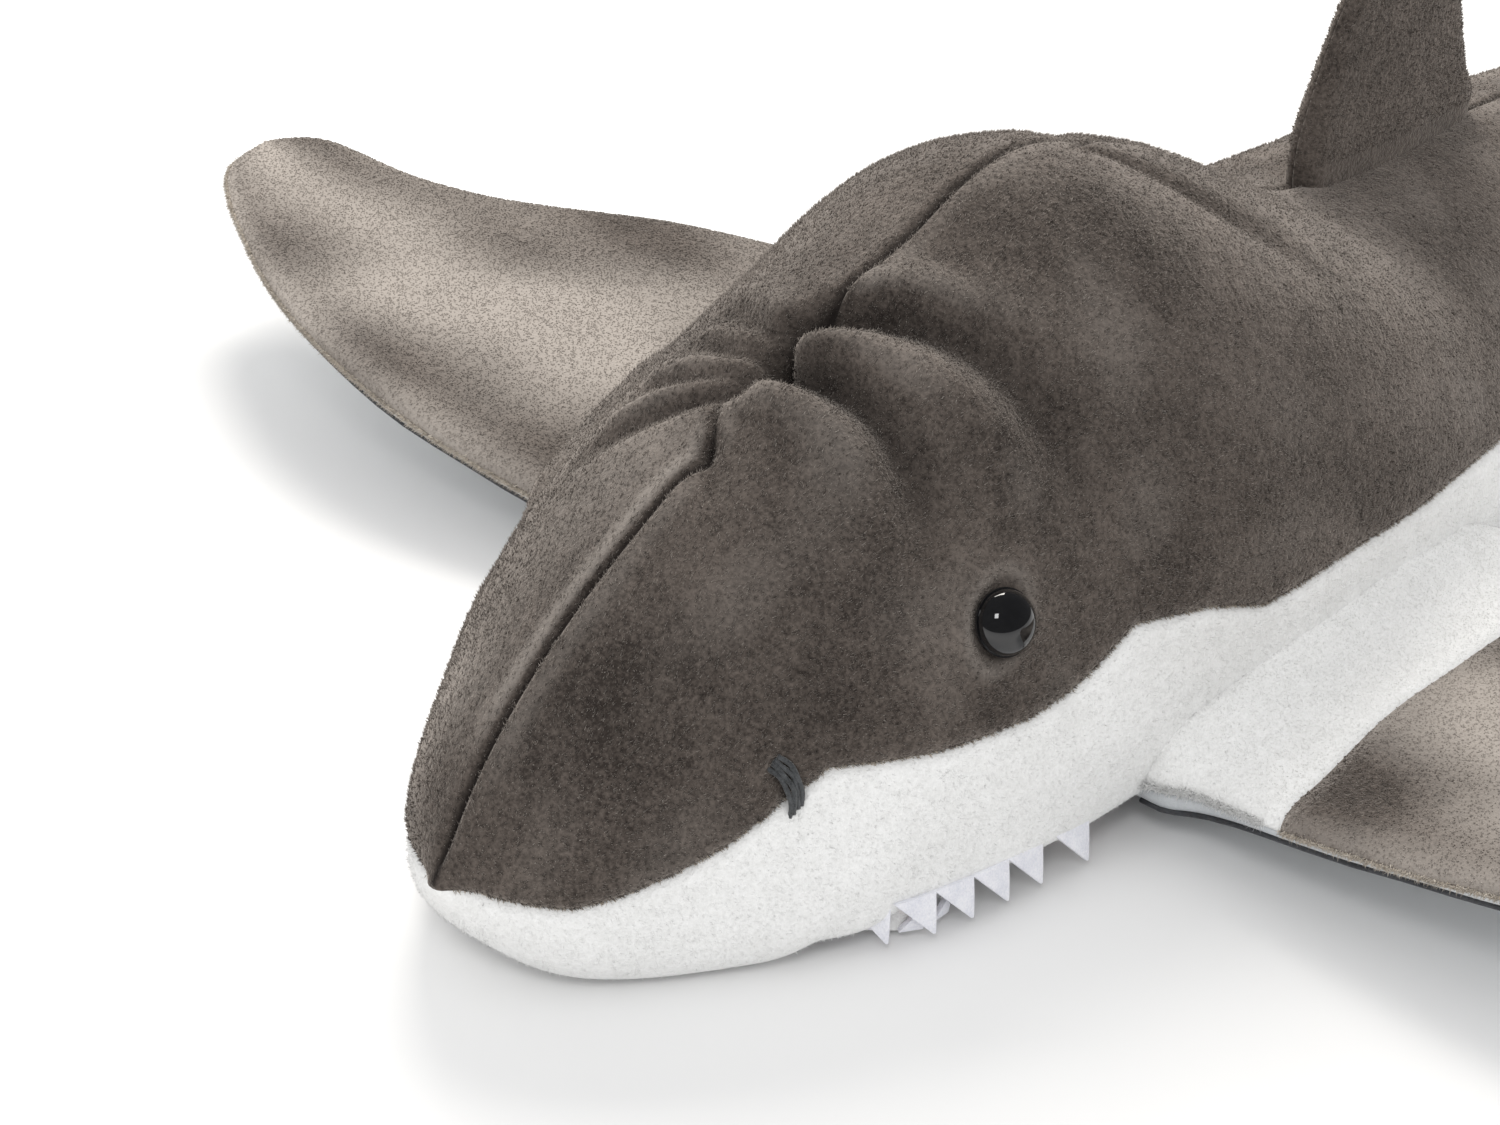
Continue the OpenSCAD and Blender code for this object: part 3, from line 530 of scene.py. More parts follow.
def seamHeights():
    # height of the grey and white seam, from the white panels' upper edges
    found = {}
    for name in ("cheek_panel_left", "belly_panel", "tail_belly_panel"):
        for p in frame["nodes"][name].data.vertices:
            key = round((p.co.y - noseY) / (6 * mm))
            if p.co.x > 0 and p.co.z > found.get(key, (0, 0))[1]:
                found[key] = (p.co.y - noseY, p.co.z)
    rows = np.array([found[k] for k in sorted(found)])
    # behind the head the seam is one long curve, so the odd corner of a panel's end is passed over
    rear = rows[:, 0] > 0.24
    middle = np.array([np.median(rows[max(0, i - 6):i + 7, 1]) for i in range(len(rows))])
    middle = blurRows(middle[:, None], 3, 0)[:, 0]
    return rows[:, 0], np.where(rear, middle, rows[:, 1])


skinStations, skinGrid = sampleSkin()
seamS, seamZ = seamHeights()
arcGrid = np.concatenate([np.zeros((len(skinStations), 1)),
                          np.cumsum(np.linalg.norm(np.diff(skinGrid, axis=1), axis=2), axis=1)], axis=1)
print("skin sampled", skinGrid.shape)


def skinRow(s):
    # section of the skin at a station: distance round it from the back's seam, x and z
    k = (s - skinStations[0]) / (skinStations[1] - skinStations[0])
    i = int(np.clip(math.floor(k), 0, len(skinStations) - 2))
    f = k - i
    if k < 0:                                   # the nose closes like a blunt dome
        shrink = math.sqrt(max(0.0, s / skinStations[0]))
        tip = skinGrid[0].mean(axis=0) * (0, 1)
        row = tip + (skinGrid[0] - tip) * shrink
        return arcGrid[0] * shrink, row
    return arcGrid[i] * (1 - f) + arcGrid[i + 1] * f, skinGrid[i] * (1 - f) + skinGrid[i + 1] * f


def seamArc(s, arc, row):
    # distance round the section at which the colour seam lies
    z = np.interp(s, seamS, seamZ)
    side = int(np.argmax(row[:, 0]))
    order = np.argsort(row[:side + 1, 1])
    return float(np.interp(z, row[:side + 1, 1][order], arc[:side + 1][order]))


# Soft sculpting of the stuffed skin. Every place is a station and a distance round the side from the
# back's seam, in mm, with the shark's left side positive.
seamLine = [(0, 0), (60, 0), (94, 1), (103, 4), (111, 0), (119, -6), (127, -2.5), (138, -1),
            (149, -4), (158, -1.5), (180, 0), (740, 0)]
creases = [
    # path, width at its start and end, depth at its start and end
    ([(137, 1), (139, 14), (141, 27), (141, 40), (138, 53), (133, 67), (126, 82)], (4.5, 9.5), (9.5, 0.5)),
    ([(150, -3), (158, 2), (165, 13), (171, 26), (176, 40), (180, 58), (182, 78), (178, 98)],
     (5.0, 10.5), (8.8, 0.5)),
    ([(106, 3), (100, 10), (92, 16)], (3.5, 5.0), (3.5, 0.0)),
    ([(140, -2), (146, -14), (152, -30), (154, -48)], (3.5, 6.0), (6.0, 1.0)),
    ([(137, -3), (136, -16), (139, -30), (143, -48)], (3.2, 5.0), (5.0, 1.0)),
    ([(131, -3), (127, -17), (124, -34), (120, -52)], (3.2, 5.0), (5.0, 1.0)),
    ([(125, -4), (117, -18), (108, -32), (99, -48)], (3.5, 6.0), (5.0, 1.0)),
    ([(272, 6), (282, 22), (291, 38), (303, 54), (320, 72)], (5.0, 9.0), (5.0, 0.5)),
    ([(276, -8), (288, -26), (304, -44), (326, -64)], (5.0, 9.0), (4.0, 0.5)),
    ([(196, 8), (189, 30), (183, 48), (178, 66)], (7.0, 10.0), (1.5, 0.5)),
]
ridges = [
    ([(146, 4), (153, 18), (158, 36), (163, 56), (163, 78)], (6.0, 10.0), (3.5, 1.0)),
    ([(126, 8), (128, 22), (127, 38), (122, 56)], (7.0, 10.0), (3.2, 0.5)),
    ([(172, 6), (183, 20), (190, 38), (194, 60)], (7.0, 12.0), (2.5, 1.0)),
    ([(143, -8), (144, -22), (148, -40)], (4.0, 6.0), (2.5, 1.5)),
    ([(134, -9), (131, -22), (130, -40)], (4.0, 6.0), (2.5, 1.5)),
    ([(127, -11), (121, -24), (114, -42)], (4.0, 6.0), (2.5, 1.5)),
    ([(152, -12), (162, -28), (168, -46)], (6.0, 9.0), (2.5, 1.0)),
    ([(112, -82), (134, -88), (160, -89)], (8.0, 8.0), (4.2, 4.2)),
]
eyeSpots = ((142, 102, 1), (142, 105, -1))         # station, distance round the side, and side
nostrilPath = [(72, 77), (74, 92)]
sculpt = {"seamDepth": 2.0, "seamWidth": 1.3, "seamShoulder": 0.45, "gatherDepth": 5.0, "gatherWidth": 6.5,
          "socketDepth": 3.4, "socketRadius": 9.5, "socketLip": 1.3, "nostrilDent": 2.2,
          "lumpHeight": 1.1, "lumpSize": 95}


def pathDistance(s, t, path):
    # distance of each point from a bent line, and the share of the line's length there
    points = np.array(path, float)
    legs = np.diff(points, axis=0)
    lengths = np.linalg.norm(legs, axis=1)
    before = np.concatenate([[0], np.cumsum(lengths)])
    best = np.full(s.shape, 1e9)
    share = np.zeros(s.shape)
    for (ps, pt), (ls, lt), length, done in zip(points[:-1], legs, lengths, before[:-1]):
        k = np.clip(((s - ps) * ls + (t - pt) * lt) / length ** 2, 0, 1)
        d = np.hypot(s - ps - k * ls, t - pt - k * lt)
        nearer = d < best
        best = np.where(nearer, d, best)
        share = np.where(nearer, (done + k * length) / before[-1], share)
    return best, share


def softLine(s, t, lines):
    total = np.zeros(s.shape)
    for path, widths, depths in lines:
        d, k = pathDistance(s, t, path)
        width = widths[0] + (widths[1] - widths[0]) * k
        total += (depths[0] + (depths[1] - depths[0]) * k ** 1.7) * np.exp(-(d / width) ** 2)
    return total


def sculptHeight(s, t):
    # s and t in mm; the result is how far the skin stands out, in mm
    v = sculpt
    line = np.interp(s, *np.array(seamLine, float).T)
    off = np.abs(t - line)
    fade = smoothStep(s, 0, 8)
    h = -v["seamDepth"] * np.exp(-(off / v["seamWidth"]) ** 2) * fade
    h += v["seamShoulder"] * bump(off, 4.5, 3.0) * fade
    h -= v["gatherDepth"] * np.exp(-((s - 138) ** 2 + t ** 2) / v["gatherWidth"] ** 2)
    h -= softLine(s, t, creases)
    h += softLine(s, t, ridges)
    for eyeS, eyeT, side in eyeSpots:
        r = np.hypot(s - eyeS, t - side * eyeT)
        h -= v["socketDepth"] * np.exp(-(r / v["socketRadius"]) ** 4)
        h += v["socketLip"] * bump(r, 13.5, 3.5)
        d = pathDistance(s, t * side, nostrilPath)[0]
        h -= v["nostrilDent"] * np.exp(-(d / 2.6) ** 2)
        h += 0.7 * bump(d, 6.0, 3.0)
    h += v["lumpHeight"] * lumps(s, t, v["lumpSize"], 5) * smoothStep(s, 20, 120)
    return h


def shadeSheenAndBrushValue(s, t):
    # painted shade and sheen on the pile at a place, below 0 darker and above 0 lighter: painted shade in the
    # seam groove and the folds, painted light on the ridges and round the eyes, painted sheen beside the
    # seam, and random brush marks
    off = t - np.interp(s, *np.array(seamLine, float).T)
    # painted shade: a dark line down the seam groove
    tone = -1.0 * np.exp(-(off / 1.25) ** 2)
    # painted shade in the creases, painted light on the ridges
    tone -= 0.075 * softLine(s, t, creases)
    tone += 0.05 * softLine(s, t, ridges[:-1])
    # painted sheen: a bright streak beside the seam, a broad one over the snout's right slope and a faint one
    # on the seam's left side
    tone += 0.42 * bump(off, -4.2, 2.8) * smoothStep(s, 14, 40) * (1 - smoothStep(s, 96, 118))
    tone += 0.22 * bump(off, -26, 18) * smoothStep(s, 6, 40) * (1 - smoothStep(s, 120, 150))
    tone += 0.16 * bump(off, 5.5, 3.5) * smoothStep(s, 6, 30)
    # painted sheen on the raised ring round each eye
    for eyeS, eyeT, side in eyeSpots:
        tone += 0.34 * bump(np.hypot(s - eyeS, t - side * eyeT), 11.6, 2.2)
    # then random brush marks on top
    return np.clip(tone + 0.10 * lumps(s, t, 46, 15), -1, 1)


def stationRows(fineEnd, fineStep, coarseStep):
    start = np.array([0.0, 0.25, 0.8, 1.6, 2.6, 3.8])
    fine = np.arange(5.2, fineEnd, fineStep)
    rest = np.arange(fineEnd, skinStations[-1] / mm, coarseStep)
    return np.concatenate([start, fine, rest])


stalkRound, stalkShare = 0.700, 0.85    # the tail stalk rounds off behind this station, in metres


def skinPoints(rows, share):
    # points of the smooth skin; share 0 is the back's seam, 1 the colour seam, 2 the belly's middle
    points = np.zeros((len(rows), len(share), 3))
    places = np.zeros((len(rows), len(share)))
    for i, s in enumerate(rows * mm):
        arc, row = skinRow(s)
        seamAt = seamArc(s, arc, row)
        side = np.sign(share)
        a = np.abs(share)
        d = np.where(a <= 1, a * seamAt, seamAt + (a - 1) * (arc[-1] - seamAt))
        past = max(0.0, (s - stalkRound) / (skinStations[-1] - stalkRound))
        shrink = math.sqrt(max(0.0, 1 - stalkShare * past ** 3))
        middle = (row[0, 1] + row[-1, 1]) / 2
        points[i, :, 0] = side * np.interp(d, arc, row[:, 0]) * shrink
        points[i, :, 1] = noseY + s
        points[i, :, 2] = middle + (np.interp(d, arc, row[:, 1]) - middle) * shrink
        places[i] = side * d / mm
    return points, places


def closedForm(name, outer, inner, pileTone=None):
    # a skin of two grids, joined along their edges and closed at both ends
    ring = np.concatenate([outer, inner[:, ::-1], outer[:, :1]], axis=1)
    ends = [row.mean(axis=1, keepdims=True).repeat(ring.shape[1], axis=1) for row in (ring[:1], ring[-1:])]
    points = np.concatenate([ends[0], ring, ends[1]], axis=0)
    if pileTone is not None:
        pileTone = np.concatenate([pileTone, np.zeros(inner.shape[:2]), pileTone[:, :1]], axis=1)
        pileTone = np.concatenate([pileTone[:1], pileTone, pileTone[-1:]], axis=0)
    return formGrid(name, points, pileTone)


def coreOf(outer, inward, depth, columns):
    # the inner face of a stuffed panel, a plain web from edge to edge
    left, right = outer[:, :1] + inward[:, :1] * depth, outer[:, -1:] + inward[:, -1:] * depth
    share = np.linspace(0, 1, columns)[None, :, None]
    return left + (right - left) * share


def sideShares(dense, edge):
    # columns from the left seam over the back to the right seam, closer together at the seams
    half = np.concatenate([np.linspace(0, 0.085, dense, endpoint=False),
                           np.linspace(0.085, 1 - edge, 50, endpoint=False),
                           np.linspace(1 - edge, 1, 7)])
    return np.concatenate([-half[::-1], half[1:]])


rollDepth, rollWidth = 2.4, 4.0          # the panels' edges roll into the colour seam, in mm


def skinForm(rows, share, grey):
    # the sculpted skin, grey over the back or white under it: points, normals, stations and places round it
    points, places = skinPoints(rows, share)
    normals = gridNormals(points)
    s = np.repeat(rows[:, None], len(share), axis=1)
    around = np.abs(places)
    edge = around.max(axis=1, keepdims=True) - around if grey else around - around.min(axis=1, keepdims=True)
    above = 1.0 if grey else smoothStep(points[..., 2] / mm, 2, 14)
    high = sculptHeight(s, places) * above - rollDepth * np.clip(1 - edge / rollWidth, 0, 1) ** 2
    high *= smoothStep(s, 0, 5)
    formed = points + normals * high[..., None] * mm
    formed[..., 2] = np.maximum(formed[..., 2], 0.4 * mm if grey else 0)
    return formed, normals, s, places


fineEnd = 300                            # stations lie closer together over the head, up to here, in mm
whiteHalf = np.concatenate([np.linspace(1, 1.08, 6, endpoint=False), np.linspace(1.08, 2, 76)])
whiteShares = np.concatenate([whiteHalf, -whiteHalf[::-1][1:]])
greyPoints, greyNormals, greyS, greyT = skinForm(stationRows(fineEnd, 1.7, 3.6), sideShares(12, 0.06), True)
greyShadeSheenAndBrush = shadeSheenAndBrushValue(greyS, greyT)
coreDepth = 7 * mm
backSkin = closedForm("backPlush", greyPoints, coreOf(greyPoints, -greyNormals, coreDepth, 6), greyShadeSheenAndBrush)
backSkin.data.materials.append(greyPlush)
whitePoints, whiteNormals, whiteS = skinForm(stationRows(fineEnd, 1.9, 3.8), whiteShares, False)[:3]
bellySkin = closedForm("bellyPlush", whitePoints, coreOf(whitePoints, -whiteNormals, coreDepth, 6))
bellySkin.data.materials.append(whitePlush)
print("stuffed skin formed", len(backSkin.data.polygons), len(bellySkin.data.polygons))


def foldTail(piece):
    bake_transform(piece)


for piece in (backSkin, bellySkin):
    foldTail(piece)
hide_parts("head_panel_left", "head_panel_right", "back_panel_left", "back_panel_right",
            "tail_back_panel_left", "tail_back_panel_right", "head_filling", "torso_filling")
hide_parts("cheek_panel_left", "cheek_panel_right", "belly_panel", "tail_belly_panel",
            "tail_filling")

# Pile

pileNeedle = {"sides": 3, "sunk": 0.3}


def needleMesh():
    # one hair of the pile: a slim three-sided spike, base width 1 and length 1
    clearSelection()
    bpy.ops.mesh.primitive_cone_add(vertices=pileNeedle["sides"], radius1=0.5, radius2=0, depth=1,
                                    location=(0, 0, 0.5))
    obj = bpy.context.active_object
    bpy.ops.object.transform_apply(location=True, rotation=False, scale=False)
    corners = np.array([v.co[:] for v in obj.data.vertices])
    faces = np.array([[p.vertices[0], p.vertices[k], p.vertices[k + 1]]
                      for p in obj.data.polygons for k in range(1, len(p.vertices) - 1)])
    bpy.data.objects.remove(obj)
    return corners, faces


needleCorners, needleFaces = needleMesh()


def scatter(points, tone, weight, count, seed):
    # random spots over a grid, thicker where weight is larger: place, outward, backward and tone of each
    rng = np.random.default_rng(seed)
    a, b, c = points[:-1, :-1], points[:-1, 1:], points[1:, :-1]
    size = np.linalg.norm(np.cross(b - a, c - a), axis=2) * weight[:-1, :-1]
    pick = rng.choice(size.size, count, p=(size / size.sum()).ravel())
    i, j = np.unravel_index(pick, size.shape)
    u, v = rng.uniform(0, 1, (2, count))
    up, back = gridNormals(points), np.gradient(points, axis=0)

    def at(grid):
        w = [(1 - u) * (1 - v), u * (1 - v), (1 - u) * v, u * v]
        parts = [grid[i, j], grid[i, j + 1], grid[i + 1, j], grid[i + 1, j + 1]]
        return sum((k[:, None] if grid.ndim == 3 else k) * part for k, part in zip(w, parts))
    back = at(back)
    return at(points), at(up), back / np.linalg.norm(back, axis=1, keepdims=True), at(tone)


def growPile(name, spots, ways, length, width, tone, material, seed):
    # a hair at each spot, all in one mesh
    rng = np.random.default_rng(seed)
    count = len(spots)
    ways = ways / np.linalg.norm(ways, axis=1, keepdims=True)
    side = np.cross(ways, rng.normal(size=(count, 3)))
    side /= np.linalg.norm(side, axis=1, keepdims=True)
    other = np.cross(ways, side)
    tall = (length * rng.uniform(0.6, 1.1, count))[:, None, None] * mm
    shape = needleCorners[None]
    across = side[:, None] * shape[..., :1] + other[:, None] * shape[..., 1:2]
    points = (spots[:, None] + across * width * mm
              + ways[:, None] * (shape[..., 2:] * tall - pileNeedle["sunk"] * mm))
    faces = (needleFaces[None] + len(needleCorners) * np.arange(count)[:, None, None]).reshape(-1, 3)
    mesh = bpy.data.meshes.new(name)
    mesh.vertices.add(points.shape[0] * points.shape[1])
    mesh.vertices.foreach_set("co", points.astype(np.float32).ravel())
    mesh.loops.add(faces.size)
    mesh.loops.foreach_set("vertex_index", faces.astype(np.int32).ravel())
    mesh.polygons.add(len(faces))
    mesh.polygons.foreach_set("loop_start", np.arange(0, faces.size, 3, dtype=np.int32))
    storePileTone(mesh, np.repeat(tone, len(needleCorners)))
    mesh.update(calc_edges=True)
    mesh.validate()
    obj = bpy.data.objects.new(name, mesh)
    bpy.context.collection.objects.link(obj)
    mesh.materials.append(material)
    return obj


def coat(name, points, tone, weight, count, length, width, lean, mess, material, seed):
    # pile over a whole grid, leaning back from the nose
    spots, up, back, shade = scatter(points, tone, weight, count, seed)
    rng = np.random.default_rng(seed + 1)
    ways = up + back * lean + rng.normal(size=up.shape) * mess
    shade = np.clip(shade + rng.normal(size=count) * 0.16, -1, 1)
    return growPile(name, spots, ways, length, width, shade, material, seed + 2)


bodyPile = {"head": 49000, "back": 48000, "belly": 46000, "neck": 250, "length": 1.7, "width": 0.5,
            "bellyLength": 1.5, "bellyWidth": 0.26, "eyeGap": 9.6, "seamGap": 0.8,
            "fringe": 7000, "fringeWidth": 0.34}


def trunkWeight(s, low, high):
    # hairs stand thinner over the rear of the body
    return (s >= low) * (s < high) * (1.0 - 0.45 * smoothStep(s, 240, 420)) * smoothStep(s, 1, 6)


def coatBody():
    v = bodyPile
    clear = np.ones(greyS.shape)
    for eyeS, eyeT, side in eyeSpots:
        clear *= np.hypot(greyS - eyeS, greyT - side * eyeT) > v["eyeGap"]
    seamOff = np.abs(greyT - np.interp(greyS, *np.array(seamLine, float).T))
    clear *= seamOff > v["seamGap"]
    for name, low, high in (("head", 0, v["neck"]), ("back", v["neck"], math.inf)):
        piece = coat(name + "Pile", greyPoints, greyShadeSheenAndBrush, clear * trunkWeight(greyS, low, high), v[name],
                     v["length"], v["width"], 0.9, 0.38, greyPlush, 101 + low)
        foldTail(piece)
    above = smoothStep(whitePoints[..., 2] / mm, 3, 10) * (1.0 - 0.6 * smoothStep(whiteS, 240, 420))
    piece = coat("bellyPile", whitePoints, np.full(whiteS.shape, 0.5), above * smoothStep(whiteS, 1, 6),
                 v["belly"], v["bellyLength"], v["bellyWidth"], 0.5, 0.32, whitePlush, 151)
    foldTail(piece)


def fringeAlong(name, path, out, count, length, width, mess, material, tone, seed):
    # a row of longer hairs along an edge
    rng = np.random.default_rng(seed)
    legs = np.concatenate([[0], np.cumsum(np.linalg.norm(np.diff(path, axis=0), axis=1))])
    at = rng.uniform(0, legs[-1], count)
    spots = np.stack([np.interp(at, legs, path[:, k]) for k in range(3)], axis=1)
    ways = np.stack([np.interp(at, legs, out[:, k]) for k in range(3)], axis=1)
    ways = ways / np.linalg.norm(ways, axis=1, keepdims=True) + rng.normal(size=ways.shape) * mess
    spots += rng.normal(size=spots.shape) * 0.35 * mm
    return growPile(name, spots, ways, length, width, np.clip(tone + rng.normal(size=count) * 0.3, -1, 1),
                    material, seed + 1)


def fringeBody():
    # tips of pale hair stand out of the colour seam, on both sides
    v = bodyPile
    for column, name, side in ((0, "right", -1), (-1, "left", 1)):
        path = greyPoints[4:, column]
        down = greyPoints[4:, column] - greyPoints[4:, column - side * 2 if column else 2]
        down /= np.linalg.norm(down, axis=1, keepdims=True)
        out = greyNormals[4:, column] * 0.9 + down * 0.9 + np.array([0, 0.35, 0])
        piece = fringeAlong(f"seamFringe.{name}", path, out, v["fringe"], v["length"], v["fringeWidth"],
                            0.30, creamFringe, -0.1, 171 + side)
        foldTail(piece)


coatBody()
fringeBody()
print("pile grown on the body")

# Fins


def tube(name, path, radius, sides=10):
    # a plain round tube along a path, closed at its ends
    path = np.array(path)
    rings = []
    tangents = np.gradient(path, axis=0)
    helper = np.array([0.31, 0.57, 0.76])
    for p, d in zip(path, tangents):
        d = d / np.linalg.norm(d)
        a = np.cross(d, helper)
        a /= np.linalg.norm(a)
        b = np.cross(d, a)
        turn = np.linspace(0, math.tau, sides + 1)[:, None]
        rings.append(p + radius * (np.cos(turn) * a + np.sin(turn) * b))
    rings = np.array(rings)
    caps = [rings[k:k + 1].mean(axis=1, keepdims=True).repeat(sides + 1, axis=1) for k in (0, len(rings) - 1)]
    return formGrid(name, np.concatenate([caps[0], rings, caps[1]], axis=0))


def smoothPath(points, count):
    # Catmull-Rom curve through given points, closer together at its end
    p = np.array(points, float)
    p = np.concatenate([[2 * p[0] - p[1]], p, [2 * p[-1] - p[-2]]])
    t = np.sin(np.linspace(0, 1, count) * math.pi / 2) ** 0.9 * (len(points) - 1)
    i = np.clip(t.astype(int), 0, len(points) - 2)
    f = (t - i)[:, None]
    a, b, c, d = p[i], p[i + 1], p[i + 2], p[i + 3]
    square, cube = 2 * a - 5 * b + 4 * c - d, 3 * b - a - 3 * c + d
    return 0.5 * (2 * b + (c - a) * f + square * f ** 2 + cube * f ** 3)


def evenColumns(count):
    # shares of a chord, closer together at its two edges
    return 0.5 - 0.5 * np.cos(np.linspace(0, 1, count) * math.pi)


def finGrids(front, rear, half, place, face, rows, columns, waves=0.0, seed=1, droop=0.0):
    # the outer face of one side of a fin, and its flat middle plane
    f, r = smoothPath(front, rows), smoothPath(rear, rows)
    u = evenColumns(columns)[None, :, None]
    flat = f[:, None] + (r - f)[:, None] * u
    across = u[..., 0].repeat(rows, axis=0)
    chord = np.linalg.norm(r - f, axis=1)[:, None]
    h = half(flat[..., 0], across, chord)
    ripple = waves * lumps(flat[..., 0], flat[..., 1], 60, seed) * np.clip(h / 4, 0, 1)
    middle = 0.6 * waves * lumps(flat[..., 0], flat[..., 1], 150, seed + 1)
    middle = middle - droop * (1 - smoothStep(across, 0, 0.4)) * (1 - smoothStep(flat[..., 0], 20, 150))
    edge = 0.08 * face
    outer = place(flat[..., 0], flat[..., 1], face * h + face * ripple * 0.5 + middle + edge)
    inner = place(flat[..., 0], flat[..., 1], middle + edge)
    return outer, inner


def pillow(u, chord, thick, edgeRound):
    # half thickness that rises quickly from a rounded edge and then stays puffed
    d = np.minimum(u, 1 - u) * chord
    rise = np.sqrt(np.clip(1 - (1 - np.clip(d / edgeRound, 0, 1)) ** 2, 0, 1))
    crown = 0.72 + 0.28 * np.sin(np.pi * np.clip(u, 0, 1))
    return thick * rise * crown


# pale sets the strength of the painted sheen along each fin's top; the thin dark tube under the front edge
# paints a shadow line
pectoral = {"span": 280, "chord": 192, "lift": 7, "rootHalf": 9.0, "tipHalf": 3.6, "sleeveEnd": 30,
            "rootFlare": 9.0, "inside": 36, "droop": 6.5, "shadowLine": 0.85, "pale": 0.85,
            "rows": 110, "columns": 57, "waves": 1.6, "waveSeed": 11, "foldIn": 16, "foldOut": 18,
            "topHairs": 36000, "rootHairs": 14000, "hairLength": 1.6, "hemHairs": 1500, "hemLength": 3.8,
            "fringeHairs": 6500, "fringeLength": 2.4,
            "front": [(0, 0.02), (0.12, 0.0), (0.31, -0.015), (0.49, 0.01), (0.67, 0.085), (0.83, 0.20),
                      (0.925, 0.285), (0.975, 0.35), (0.995, 0.415), (1.0, 0.47)],
            "rear": [(0, 0.98), (0.13, 1.01), (0.31, 0.98), (0.47, 0.875), (0.615, 0.725), (0.76, 0.63),
                     (0.895, 0.605), (0.955, 0.585), (0.99, 0.535), (1.0, 0.47)]}


def pectoralHalf(x, u, chord):
    v = pectoral
    share = np.clip(x / v["span"], 0, 1)
    thick = v["tipHalf"] + (v["rootHalf"] - v["tipHalf"]) * (1 - share) ** 0.8
    thick = thick + v["rootFlare"] * np.exp(-((x + 14) / 17) ** 2)
    return pillow(u, chord, thick, np.minimum(3 + thick, chord * 0.5 + 0.01))


def pectoralPlace(side):
    root = Vector(joint("left_pectoral_flap")["pos_m"])
    lift = math.radians(pectoral["lift"])

    def place(x, y, z):
        out = x * math.cos(lift) - z * math.sin(lift)
        up = x * math.sin(lift) + z * math.cos(lift)
        return np.stack([side * (root.x + out * mm), root.y + y * mm, root.z + up * mm], axis=-1)
    return place


def pectoralOutline():
    # outline points of the fin's front and rear edges, carried on into the body
    v = pectoral
    start = -v["inside"]
    front = [(x * v["span"], y * v["chord"]) for x, y in v["front"]]
    rear = [(x * v["span"], y * v["chord"]) for x, y in v["rear"]]
    front = [(start, 6), (start * 0.4, 2)] + front
    rear = [(start, v["chord"] - 14), (start * 0.4, v["chord"] - 7)] + rear
    return front, rear


def pectoralTone(flat, side):
    # painted sheen: the pile is lightened in a band along the fin where back light would catch it, and a
    # little all over, with random cloudy tone; the front edge is lightened to its fringe's cream, and the
    # rear stays darker
    v = pectoral
    across = evenColumns(v["columns"])[None, :].repeat(v["rows"], axis=0)
    cloud = lumps(flat[..., 0] * 0.55, flat[..., 1], 48, 53 + side)
    tone = v["pale"] * bump(across, 0.40, 0.30) * smoothStep(flat[..., 0], 0, 80) + 0.34 * cloud
    return tone + 0.12 + 0.55 * bump(across, 0, 0.05)


def addPectoral(side, name):
    v = pectoral
    place = pectoralPlace(side)
    front, rear = pectoralOutline()

    def plain(x, y, z):
        return np.stack([x, y, z], axis=-1)

    def grids(face):
        return finGrids(front, rear, pectoralHalf, place, face, v["rows"], v["columns"], v["waves"],
                        v["waveSeed"], v["droop"])

    def bend(piece):
        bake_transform(piece)

    flat = finGrids(front, rear, pectoralHalf, plain, 1, v["rows"], v["columns"])[0]
    sleeve = flat[:, 0, 0] <= v["sleeveEnd"] + 2.5
    blade = flat[:, 0, 0] >= v["sleeveEnd"] - 1.0
    tone = pectoralTone(flat, side)
    upper, under = grids(1)[0], grids(-1)[0]
    for face, title, kept, mat, slot, nodes, hairs in (
            (1, "Top", blade, greyPlush, "grey_plush", ["pectoral_top_", "pectoral_filling_"],
             (v["topHairs"], 0.5)),
            (-1, "Underside", slice(None), smoothLining, "smooth_lining", ["pectoral_underside_"], None),
            (1, "Root", sleeve, whitePlush, "white_plush", [], (v["rootHairs"], 0.26))):
        outer, inner = grids(face)
        piece = closedForm(f"pectoral{title}.{name}", outer[kept], inner[kept],
                           np.clip(tone[kept], -0.5, 1) if title == "Top" else None)
        piece.data.materials.append(mat)
        bend(piece)
        if nodes:
            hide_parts(*[n + name for n in nodes])
        if hairs:
            top = (outer if side > 0 else outer[:, ::-1])[kept]          # so that the pile grows outwards
            shade = (tone if side > 0 else tone[:, ::-1])[kept]
            pileSide = coat(f"pectoral{title}Pile.{name}", top, np.clip(shade, -0.5, 1),
                            np.ones(top.shape[:2]), hairs[0], v["hairLength"], hairs[1], 0.5, 0.38, mat,
                            201 + side)
            bend(pileSide)

    # a thin dark tube under the front edge paints the shadow line there, and the edge above it is fringed
    run = under[3:-2, 4] - np.array([0, 0.3 * mm, 0.5 * mm])
    shadowLine = tube(f"pectoralShadowLine.{name}", run[::2], v["shadowLine"] * mm, 8)
    shadowLine.data.materials.append(shadowLineDark)
    bend(shadowLine)
    for part, mat, kept, column, number, tall, width, rise, slot in (
            ("Hem", whitePlush, sleeve, 1, v["hemHairs"], v["hemLength"], 0.42, 0.1, "white_plush"),
            ("Fringe", creamFringe, blade, 0, v["fringeHairs"], v["fringeLength"], 0.34, -0.1, "grey_plush")):
        edge = upper[kept][:-1, column]
        way = np.tile(np.array([0.2 * side, -1.0, rise]), (len(edge), 1))
        hairs = fringeAlong(f"pectoral{part}.{name}", edge, way, number, tall, width, 0.42, mat, 0.4,
                            231 + side)
        bend(hairs)


for side, name in ((1, "left"), (-1, "right")):
    addPectoral(side, name)
print("pectoral fins formed")

